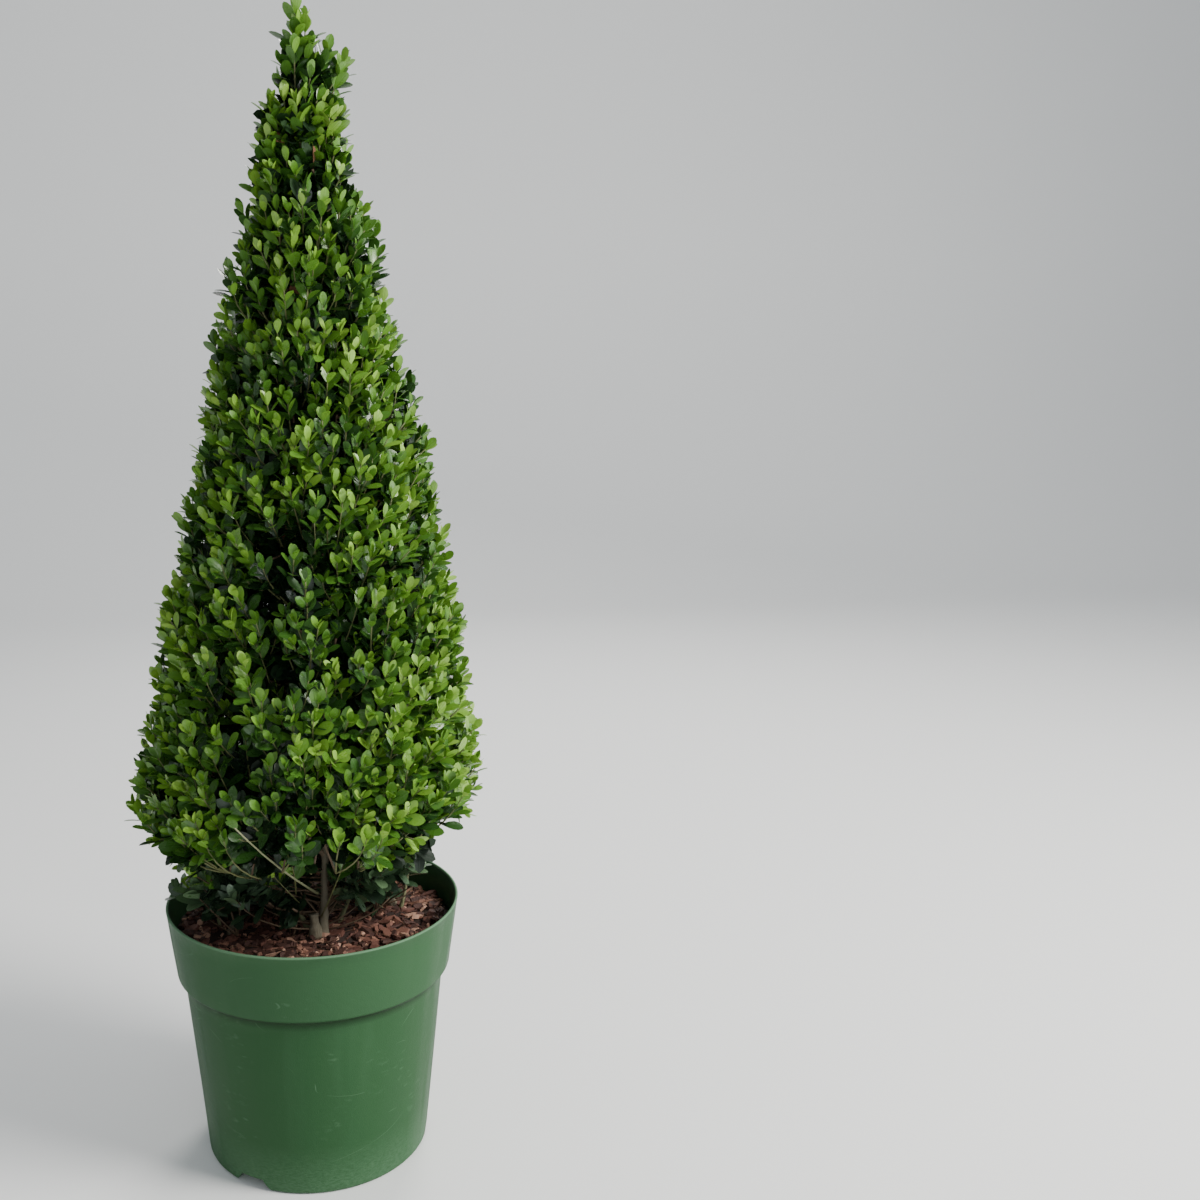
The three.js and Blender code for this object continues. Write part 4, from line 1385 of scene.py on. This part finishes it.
# %% Where the shoots go
FACE_SPACING = 13.6
SPRIG_SPACING = 17.0
UNDERSIDE_SPACING = 19.0
SHOOT_REACH = 48.0
CLIMB_LOW, CLIMB_HIGH = 52, 76
LEFT_IN_HOLLOWS = 0.45
THIN_PATCH = -0.62
HOLLOWS = np.array(
    [
        (-20, 400, 15, 24),
        (-21, 352, 16, 22),
        (-58, 332, 13, 19),
        (-8, 441, 13, 14),
        (-50, 278, 12, 14),
        (19, 383, 13, 15),
        (-25, 236, 12, 13),
        (30, 329, 12, 14),
        (26, 406, 11, 13),
        (-42, 453, 12, 13),
        (-26, 610, 10, 11),
    ]
)


def radial(azimuth):
    return stacked(np.cos(azimuth), np.sin(azimuth), 0.0)


def shoot_heading(azimuth, climb, k, scatter_by):
    """Unit directions: outwards and up by the angle climb, with some scatter."""
    out = radial(azimuth + 0.9 * scatter_by * (chance(k + 500) - 0.5))
    rise = climb + scatter_by * (chance(k + 600) - 0.5)
    return unit(out * np.cos(rise)[:, None] + UP * np.sin(rise)[:, None])


def in_hollow(points):
    """True in the dark gaps on the front of the crown, each an ellipse as the camera sees it."""
    aside = (points[:, None, 0] - HOLLOWS[:, 0]) / HOLLOWS[:, 2]
    above = (seen_height(points)[:, None] - HOLLOWS[:, 1]) / HOLLOWS[:, 3]
    return (points[:, 1] < 0) & np.any(aside**2 + above**2 < 1, axis=1)


def face_shoots(space, spacing):
    """Tips on a face, stray, sunk or in a hollow here and there, with headings and numbers."""
    azimuth, h, k = face_grid(space, spacing, 900)
    skin = space_skin(space, h)
    tip = crown_point(azimuth, h, skin)
    lump = 3.6 * noise(tip, 46.0, 5) + 3.5 * (chance(k + 700) - 0.5)
    tall = ramp(tip[:, 2], 260, 820)
    climb = np.radians(CLIMB_LOW + (CLIMB_HIGH - CLIMB_LOW) * tall)
    heading = shoot_heading(azimuth, climb, k, 0.75)
    hollow = in_hollow(tip - 12 * heading)
    stray = 80.0 * np.clip(chance(k + 740) - 0.9, 0, 1) * (1 - 0.7 * tall)
    sunk = 24.0 * np.clip(chance(k + 720) - 0.45, 0, 1) + 20.0 * hollow
    slim = 6.0 * ramp(tip[:, 2], 620, 730) * np.clip(-np.cos(azimuth), 0, 1)
    tip = crown_point(azimuth, h, skin - 2.0 + np.minimum(lump, 3.0) + stray - sunk - slim)
    kept = (noise(tip, 25.0, 23) > THIN_PATCH) & ~(hollow & (chance(k + 760) > LEFT_IN_HOLLOWS))
    return pick((tip, heading, k), kept)


def underside_shoots(space, spacing):
    """Shoots of the lowest tier that point out and a little down, over the crown's underside."""
    columns = round(2 * space["half"] * 75 / spacing)
    row, column = np.divmod(np.arange(4 * columns), columns)
    k = 52000 + space["seed"] * 31 + np.arange(4 * columns)
    u = (column + 0.5 + 0.6 * (chance(k) - 0.5)) / columns
    azimuth = space["azimuth"] + (2 * u - 1) * space["half"]
    r = 46 + 19 * (row + chance(k + 50))
    tip = crown_point(azimuth, space["floor"] + 3 + 9 * chance(k + 80), r)
    return tip, shoot_heading(azimuth, -0.1, k, 0.8), k


def shoots_of(space):
    """The shoots of a space, each from the nearest knot: bases, tips, headings and numbers."""
    made = face_shoots(space, SPRIG_SPACING if space["level"] < 0 else FACE_SPACING)
    if space["level"] == 0:
        made = join(made, underside_shoots(space, UNDERSIDE_SPACING))
    tip, heading, k = made
    return nearest(knots_of(space["name"]), tip - SHOOT_REACH * heading), tip, heading, k


print("shoots of the first face:", len(shoots_of(spaces[0])[0]))

# %% [markdown]
# ## The tip of the cone
# A ring of shoots climbs to the leader, and the longest are those that the photograph shows. Each
# of these has the place of its tip, the azimuth of its heading, and its climb in degrees.

# %% Shoots at the tip
TIP_SHOOTS = 16
LEADERS = [
    (3.0, 0.5, 838.0, 0.3, 86),
    (35.0, 4.0, 802.0, 0.1, 66),
    (31.0, -9.0, 788.0, -0.3, 62),
    (9.0, -3.0, 826.0, -1.0, 80),
    (23.0, -6.0, 806.0, -0.5, 72),
    (26.0, 8.0, 792.0, 0.6, 66),
]


def tip_shoots():
    """The leader and the shoots round it: base, tip, heading and number of each."""
    k = np.arange(TIP_SHOOTS) + 90000
    azimuth = GOLDEN_ANGLE * np.arange(TIP_SHOOTS) + 0.4
    level = np.linspace(0, 1, TIP_SHOOTS)
    r = (25 - 17 * level + 4 * (chance(k) - 0.5)) * (0.78 + 0.30 * np.cos(azimuth))
    z = 784 + 36 * level + 6 * (chance(k + 50) - 0.5)
    tip = about_axis(azimuth, z, r)
    extra = np.array(LEADERS)
    tip = np.concatenate([tip, extra[:, :3]])
    azimuth = np.concatenate([azimuth, extra[:, 3]])
    k = np.concatenate([k, 90100 + np.arange(len(extra))])
    base = trunk_point(np.clip(tip[:, 2] - 34 - 0.5 * from_axis(tip), 735, 774))
    climb = np.concatenate([np.full(TIP_SHOOTS, 66.0), extra[:, 4]])
    heading = shoot_heading(azimuth, np.radians(climb), k, 0.3)
    kept = (tip[:, 2] < 797) | (np.cos(azimuth) > -0.2)
    return pick((base, tip, heading, k), kept)


print("shoots at the tip:", len(tip_shoots()[0]))

# %% [markdown]
# ## Where the foliage parts
# At the foot we look in under the crown's hem, at the trunk, the pale branch and the bark chips.
# What would hide them is left out: first whole shoots, and later single leaves.

# %% Part the foliage
HEM = 229.0
HEM_WAVE = 5.0
HEM_REACH = 82.0
HEM_SLOPE = 0.41
SLOT_TOP = 255.0
LOWEST_TIP = 196.0


def under_hem(points, drop):
    """True for places in front that hang below the crown's hem, so that the trunk's foot shows."""
    x, y, z = points[..., 0], points[..., 1], points[..., 2]
    hem = HEM - HEM_SLOPE * (y - TRUNK_FOOT[1]) + HEM_WAVE * np.sin(x / 11.0) - drop
    return (np.abs(x + 5) < HEM_REACH) & (y < -24) & (z < hem)


def parted(points, margin):
    """True where the foliage stays: it parts in front of the trunk's foot and at the lower right."""
    x, y, z = points[..., 0], points[..., 1], points[..., 2]
    slot = margin * np.clip((300 - z) / 70, 0.45, 1)
    under_slot = z < SLOT_TOP - 0.38 * (y - TRUNK_FOOT[1])
    before_trunk = (np.abs(x - 5) < slot) & (y < -20) & under_slot
    lower_right = (x > 48) & (z < 262) & (y < 40) & (np.hypot(x, y) > 90)
    return ~(before_trunk | lower_right)


def part_shoots(space, base, tip, heading, k):
    """The shoots of a space without those that hide the branch, the trunk's foot or the mix."""
    kept = parted(tip, 13.0) & parted(tip - 30 * heading, 9.0)
    kept &= ~hides_branch(tip - 10 * heading, 8.0) & ~hides_branch(0.5 * (base + tip), 6.0)
    if space["level"] < 0:
        lowest = LOWEST_TIP + LOOK_DOWN * np.maximum(-tip[:, 1], 0)
        kept &= (tip[:, 1] > -50) & ((tip[:, 0] < 82) | (tip[:, 1] > 30)) & (tip[:, 2] > lowest)
    else:
        left = tip[:, 0] < 0
        kept &= ~under_hem(tip, 0.0) & ~(left & under_hem(0.5 * (base + tip), 4.0))
    return pick((base, tip, heading, k), kept)


shoots = {space["name"]: part_shoots(space, *shoots_of(space)) for space in spaces + sprigs}
shoots["tip"] = tip_shoots()
print("shoots of the spaces and the tip:", sum(len(group[1]) for group in shoots.values()))

# %% Shoots at the foot of the trunk
SIDE_SHOOTS = 30
FOOT_SHOOTS = 104


def stem_side_shoots():
    """Short leafy side shoots low on the trunk: some reach right and back, the others left."""
    i = np.arange(SIDE_SHOOTS)
    k = 95000 + i * 7
    right = i % 2 == 0
    azimuth = np.where(right, np.radians(-12 + 75 * chance(k)), np.radians(172 + 46 * chance(k)))
    base = trunk_point(176 + 1.6 * i)
    reach = np.where(right, 20 + 34 * chance(k + 1), 24 + 44 * chance(k + 1))
    rise = 22 + 26 * chance(k + 2)
    tip = base + reach[:, None] * radial(azimuth) + rise[:, None] * UP
    return base, tip, shoot_heading(azimuth, 0.9, k, 0.6), k


def fresh_shoots():
    """Three younger shoots near the pale branch."""
    base = np.array([(-8, -24, 196), (5, -28, 188), (-14, -22, 200)], float)
    tip = np.array([(-30, -56, 236), (26, -58, 252), (-17, -60, 252)], float)
    turned = np.array([[-0.5, -0.3, 0.8], [0.3, -0.2, 0.9], [-0.2, -0.2, 0.95]])
    return base, tip, unit(turned), 96005 + 5 * np.arange(3)


def foot_shoots():
    """Short shoots at both sides of the trunk, from the sprigs' knots and the trunk's foot."""
    i = np.arange(FOOT_SHOOTS)
    k = 97000 + i * 5
    left = i % 5 < 3
    x = np.where(left, -22 - 60 * chance(k), 18 + 46 * chance(k))
    tip = stacked(x, -44 + 52 * chance(k + 1), 216 + 22 * chance(k + 2))
    held = [knots_of(name) for name in ("low_left", "low_front", "low_right", "low_back")]
    held = np.concatenate(held + [trunk_point(np.linspace(186, 226, 9))])
    base = nearest(held, tip * (0.7, 0.7, 1) - (0, -6, 26))
    heading = stacked(np.where(left, -0.3, 0.3), -0.3, 0.8)
    return base, tip, unit(heading + 0.9 * loose(k, 3, 4, 5)), k


shoots["stem_sides"] = stem_side_shoots()
shoots["foot"] = foot_shoots()
shoots["fresh"] = fresh_shoots()
shoots["pale"] = (PALE_START, PALE_END, unit(PALE_HEADING), np.array([96000]))
print("shoots:", sum(len(s[1]) for s in shoots.values()))

# %% [markdown]
# ## Leaves on a shoot
# Holly of this kind bears its leaves close together, each pair turned by a right angle from the
# last. Near the tip they stand steep and are small and bright; further down they open wide,
# grow to full size and darken. One leaf ends the shoot.

# %% Deal out the leaves
PAIRS = 6
LARGEST = 1.08
SPLAY = np.radians([24, 34, 42, 50, 56, 62])
GROWTH = np.array([0.66, 0.86, 1.0, 1.04, 1.02, 0.98])
BRIGHTER = np.array([2.9, 1.7, 0.3, -1.0, -2.0, -2.8])


def shoot_nodes(base, tip, heading, spacing):
    """Places of the leaf pairs on each shoot, from the tip down, and the shoot's axis there."""
    push = shoot_push(base, tip, heading)
    reach = np.linalg.norm(tip - base, axis=-1) * 1.06
    back = (0.6 + np.arange(PAIRS)) * spacing
    share = np.maximum(1 - back[None] / reach[:, None], 0.02)
    at = curves_at(base, tip, push, share)
    ahead = curves_at(base, tip, push, share + 0.02)
    return at, unit(ahead - at)


def pair_leaves(at, axis, k, size, length, level, jitter):
    """Two leaves at each node, opposite each other, as a batch."""
    flat = unit(np.cross(axis, UP + 0.01))
    other = np.cross(axis, flat)
    n = k[:, None] * 8 + np.arange(PAIRS)
    turn = FULL_TURN * chance(k + 800)[:, None] + np.arange(PAIRS) * math.pi / 2
    turn = turn + 0.9 * (chance(n + 900) - 0.5)
    batches = []
    for side in (0, 1):
        m = n + 40000 * (side + 1)
        angle = turn + side * math.pi
        out = flat * np.cos(angle)[..., None] + other * np.sin(angle)[..., None]
        splay = SPLAY + jitter * (chance(m) - 0.5)
        direction = axis * np.cos(splay)[..., None] + out * np.sin(splay)[..., None]
        upper = axis * np.sin(splay)[..., None] - out * np.cos(splay)[..., None]
        upper = upper + 0.7 * loose(m, 11, 22, 33)
        direction[..., 2] += 0.10
        long = length * size[:, None] * GROWTH * (0.86 + 0.28 * chance(m + 44))
        wide = long * (0.43 + 0.12 * chance(m + 55))
        shade = level[:, None] + BRIGHTER + 1.3 * (chance(m + 66) - 0.5)
        batches.append((at + 0.4 * out, direction, upper, long, wide, shade))
    return [a.reshape(-1, *a.shape[2:]) for a in join(*batches)]


def end_leaves(tip, heading, k, size, length, level):
    """One leaf at the tip of each shoot, and about in line with it."""
    direction = heading + 0.25 * loose(k, 1, 2, 3)
    upper = np.cross(heading, unit(loose(k, 4, 5, 6)))
    long = length * size * (0.60 + 0.2 * chance(k + 7))
    return tip - 3.0 * heading, direction, upper, long, 0.5 * long, level + 2.4


def shoot_level(tip, k, middle):
    """Which shade a whole shoot has: slow patches, a spread from shoot to shoot, and painted light.
    """
    # painted light: shoots at the top and at the lower right get lighter shades, where more light
    # falls
    high = ramp(tip[:, 2], 540, 700)
    right = ramp(tip[:, 0], 0, 90) * ramp(tip[:, 2], 640, 440)
    spread = 2.3 * noise(tip, 42.0, 31) + 3.6 * (chance(k + 1200) - 0.5)
    return middle + spread + 1.1 * high + 1.3 * right


def clip_shade(shade, top):
    return np.clip(np.round(shade), 0, top).astype(int)


def leaf_batch(groups, length, spacing, middle, top, jitter=0.5):
    """All leaves of several groups of shoots, as a batch."""
    base, tip, heading, k = join(*groups)
    low = 0.84 + 0.18 * ramp(from_axis(tip), 0, 90)
    size = low + (LARGEST - low) * ramp(tip[:, 2], 640, 750)
    at, axis = shoot_nodes(base, tip, heading, spacing)
    level = shoot_level(tip, k, middle)
    pairs = pair_leaves(at, axis, k, size, length, level, jitter)
    batch = join(pairs, end_leaves(tip, heading, k, size, length, level))
    batch[SHADE] = clip_shade(batch[SHADE], top)
    return batch


print("leaves on a shoot:", 2 * PAIRS + 1)


# %% Trim the leaves
ROOTS_FROM = 183.0
TIPS_FROM = 174.0
INNER_FROM = 179.0
LIFT_AT_RIGHT = 18.0


def leaf_reach(batch, share):
    """The points at a share of the leaves' lengths."""
    return batch[ROOT] + share * batch[LENGTH][:, None] * unit(batch[DIRECTION])


def leaf_middle(batch):
    return leaf_reach(batch, 0.5)


def seen_in_front(points):
    """The seen height in the front half, and the true height behind."""
    return np.minimum(points[:, 2], seen_height(points))


def above_mix(batch):
    """Low leaves end some way above the chips, more so in front and at the right, where they show."""
    root, end = batch[ROOT], leaf_reach(batch, 1.0)
    beyond = (root[:, 0] > 80) & (root[:, 1] < 50)
    beyond |= (from_axis(end) > 89) & (end[:, 2] < 203)
    lift = LIFT_AT_RIGHT * ramp(root[:, 0], 30, 60)
    kept = (seen_in_front(root) > ROOTS_FROM + lift) & ~beyond
    kept &= seen_in_front(end) > TIPS_FROM + lift
    kept &= parted(root, 9.0) & ~hides_branch(leaf_middle(batch), BRANCH_ROOM)
    return pick(batch, kept)


def trimmed(batch):
    """Leaves under the crown's hem are taken off, and their bare shoots stay."""
    kept = ~under_hem(batch[ROOT], 0.0) & parted(batch[ROOT], 12.0)
    return pick(batch, kept & ~hides_branch(leaf_middle(batch), BRANCH_ROOM))


print("room kept free before the pale branch:", BRANCH_ROOM, "mm")

# %% [markdown]
# ## Outer leaves
# The shoots' leaves are joined into a few pieces, each small enough to edit with ease.
# The lower tiers hold the most leaves, because a cone is widest at its foot.

# %% Pieces of outer leaves
def names_of(*levels):
    return [space["name"] for space in spaces if space["level"] in levels]


LEAF_PIECES = [
    ("leaves_skirt", names_of(0)),
    ("leaves_lower", names_of(1)),
    ("leaves_middle", names_of(2)),
    ("leaves_upper", names_of(3)),
    ("leaves_top", names_of(4, 5) + ["tip"]),
]
OUTER_SIZES = {"length": 15.6, "spacing": 7.4, "middle": 4.0, "top": len(LEAVES) - 1}
for name, members in LEAF_PIECES:
    batch = trimmed(leaf_batch([shoots[member] for member in members], **OUTER_SIZES))
    nodes = [f"foliage_{member}" for member in members]
    add_piece(name, leaf_mesh(name, OUTER, batch), LEAVES, nodes)

# %% [markdown]
# ## Old leaves at the foot
# Low on the stems the leaves are those of past years: larger, dark, and grey where they shine.
# The outermost shoots on the left bear them only low down, and fresh leaves further up.

# %% Leaves of the low sprigs
FRESH_FROM = 204.0


def either_side(batch, below):
    """The part of a batch below or above the height where old leaves give way to fresh ones."""
    return pick(batch, (seen_height(batch[ROOT]) < FRESH_FROM) == below)


OUTERMOST = 82.0
OLD_SIZES = {"length": 18.6, "spacing": 6.0, "middle": 2.0, "top": len(OLD_LEAVES) - 1}
OLD_SIZES["jitter"] = 0.6
low_names = [sprig["name"] for sprig in sprigs]
outer_rows = from_axis(shoots["low_left"][1]) > OUTERMOST
outer_left = pick(shoots["low_left"], outer_rows)
low_groups = [pick(shoots["low_left"], ~outer_rows)]
low_groups += [shoots[name] for name in low_names[1:] + ["stem_sides", "foot"]]
outer_batch = either_side(leaf_batch([outer_left], **OLD_SIZES), below=True)
low_batch = above_mix(join(leaf_batch(low_groups, **OLD_SIZES), outer_batch))
low_nodes = [f"foliage_{name}" for name in low_names]
low_mesh = leaf_mesh("leaves_foot", OUTER, low_batch, 0.12, 0.14)
add_piece("leaves_foot", low_mesh, OLD_LEAVES, low_nodes)

# %% Fresh leaves on the pale branch and beside it
fresh = leaf_batch([shoots["fresh"], outer_left], 16.5, 9.5, 5.0, len(LEAVES) - 1)
fresh = above_mix(either_side(fresh, below=False))
pale = leaf_batch([shoots["pale"]], 18.5, 16.0, 5.6, len(LEAVES) - 1)
fresh = join(fresh, pick(pale, ~hides_branch(leaf_middle(pale), 4.4)))
add_piece("leaves_fresh", leaf_mesh("leaves_fresh", OUTER, fresh), LEAVES, [])

# %% [markdown]
# ## The dark inside
# Behind the face the crown is full of older leaves that get little light. They sit along and
# beyond the second-order twigs. They stop the eye, as in the real plant, so that only a few deep
# gaps show wood. A few of them have dried, and these are red-brown.
# Near the top they get lighter shades, which is painted light.

# %% Inner leaves
DRY_LEAF = leaf_materials("dry_leaf", [(0.150, 0.062, 0.028)], 0.6, 0.0)
SHADED = leaf_materials("shaded_leaf", LEAF_COLOURS[:3], 0.55, 0.05, 0.25)
SHADED_OLD = leaf_materials("shaded_old_leaf", OLD_COLOURS[:3], 0.5, 0.1, 0.3)
DRY_SLOT = 3
PER_KNOT = 17
PER_LOW_KNOT = 12


def inner_batch(names, per_knot):
    """Leaves along the second-order twigs of some spaces, a fixed number to each knot."""
    starts, ends = join(*[orders[name][1] for name in names])
    n = np.arange(len(ends) * per_knot)
    i = n // per_knot
    k = n * 3 + 200000
    share = 0.25 + 1.0 * chance(k + 10)
    root = starts[i] + (ends[i] - starts[i]) * share[:, None] + 9.0 * loose(k, 1, 2, 3)
    out = unit(root * (1, 1, 0))
    direction = unit(0.55 * out + (0, 0, 0.25) + 1.5 * loose(k, 4, 5, 6))
    upper = out + (0, 0, 0.7) + 1.2 * loose(k, 7, 8, 9)
    length = 15 + 5 * chance(k + 11)
    # painted light: inner leaves near the top get lighter shades, as the open top lets in more light
    high = ramp(root[:, 2], 560, 710)
    shade = clip_shade(2.4 * chance(k + 12) ** 1.6 - 0.3 + 1.4 * high, 2)
    dry = chance(k + 13) > np.where(root[:, 2] > 520, 0.96, 0.985)
    shade = np.where(dry, DRY_SLOT, shade)
    beyond = (root[:, 0] > 76) & (root[:, 2] < 240)
    kept = (seen_in_front(root) > INNER_FROM) & parted(root, 14.0) & ~beyond
    kept &= (root[:, 2] < 215) | ~under_hem(root, 0.0)
    kept &= ~hides_branch(root + 0.5 * length[:, None] * direction, BRANCH_ROOM)
    return pick((root, direction, upper, length, 0.50 * length, shade), kept)


inner = inner_batch([space["name"] for space in spaces], PER_KNOT)
inner_mesh = leaf_mesh("inner_leaves", INNER_STRIP, inner)
add_piece("inner_leaves", inner_mesh, SHADED + DRY_LEAF, [])
inner_low = inner_batch(low_names, PER_LOW_KNOT)
inner_low_mesh = leaf_mesh("inner_leaves_foot", INNER_STRIP, inner_low)
add_piece("inner_leaves_foot", inner_low_mesh, SHADED_OLD + DRY_LEAF, [])

# %% [markdown]
# ## Twigs
# Brown twigs carry it all. Those of the first and second order are woody and grey-brown, and
# the young shoots are greener. They are thin, so a few sides are enough for each.

# %% Twig pieces
def straight_tubes(starts, ends, push, radius, tip_radius, rings, sides):
    t = np.linspace(0, 1, rings)
    centres = curves_at(starts, ends, push, t)
    radii = np.repeat((radius + (tip_radius - radius) * t)[None], len(starts), axis=0)
    return tubes(centres, radii, sides)


def order_tubes(level, radius, tip_radius, rings, sides, wander):
    starts, ends = join(*[order[level] for order in orders.values()])
    push = wander * loose(np.arange(len(starts)) + 7000 * level, 1, 2, 3)
    return straight_tubes(starts, ends, push, radius, tip_radius, rings, sides)


def shoot_tubes(names):
    base, tip, heading, _ = join(*[shoots[name] for name in names])
    return straight_tubes(base, tip - 2 * heading, shoot_push(base, tip, heading), 0.75, 0.4, 6, 4)


TWIG_BARK = bark_material("twig_bark", (0.110, 0.072, 0.040), 0.75, 0.4)
SHOOT_BARK = bark_material("shoot_bark", (0.140, 0.150, 0.055), 0.6, 0.25)
old_wood = low_names + ["stem_sides", "foot"]
green_wood = [name for name in shoots if name not in old_wood + ["pale"]]
woody = [order_tubes(0, 1.3, 0.8, 6, 6, 7.0), order_tubes(1, 1.0, 0.7, 6, 5, 6.0)]
woody = merge(woody + [shoot_tubes(old_wood)])
add_piece("twigs", make_mesh("twigs", *woody), [TWIG_BARK], [])
add_piece("shoots", make_mesh("shoots", *shoot_tubes(green_wood)), [SHOOT_BARK], [])
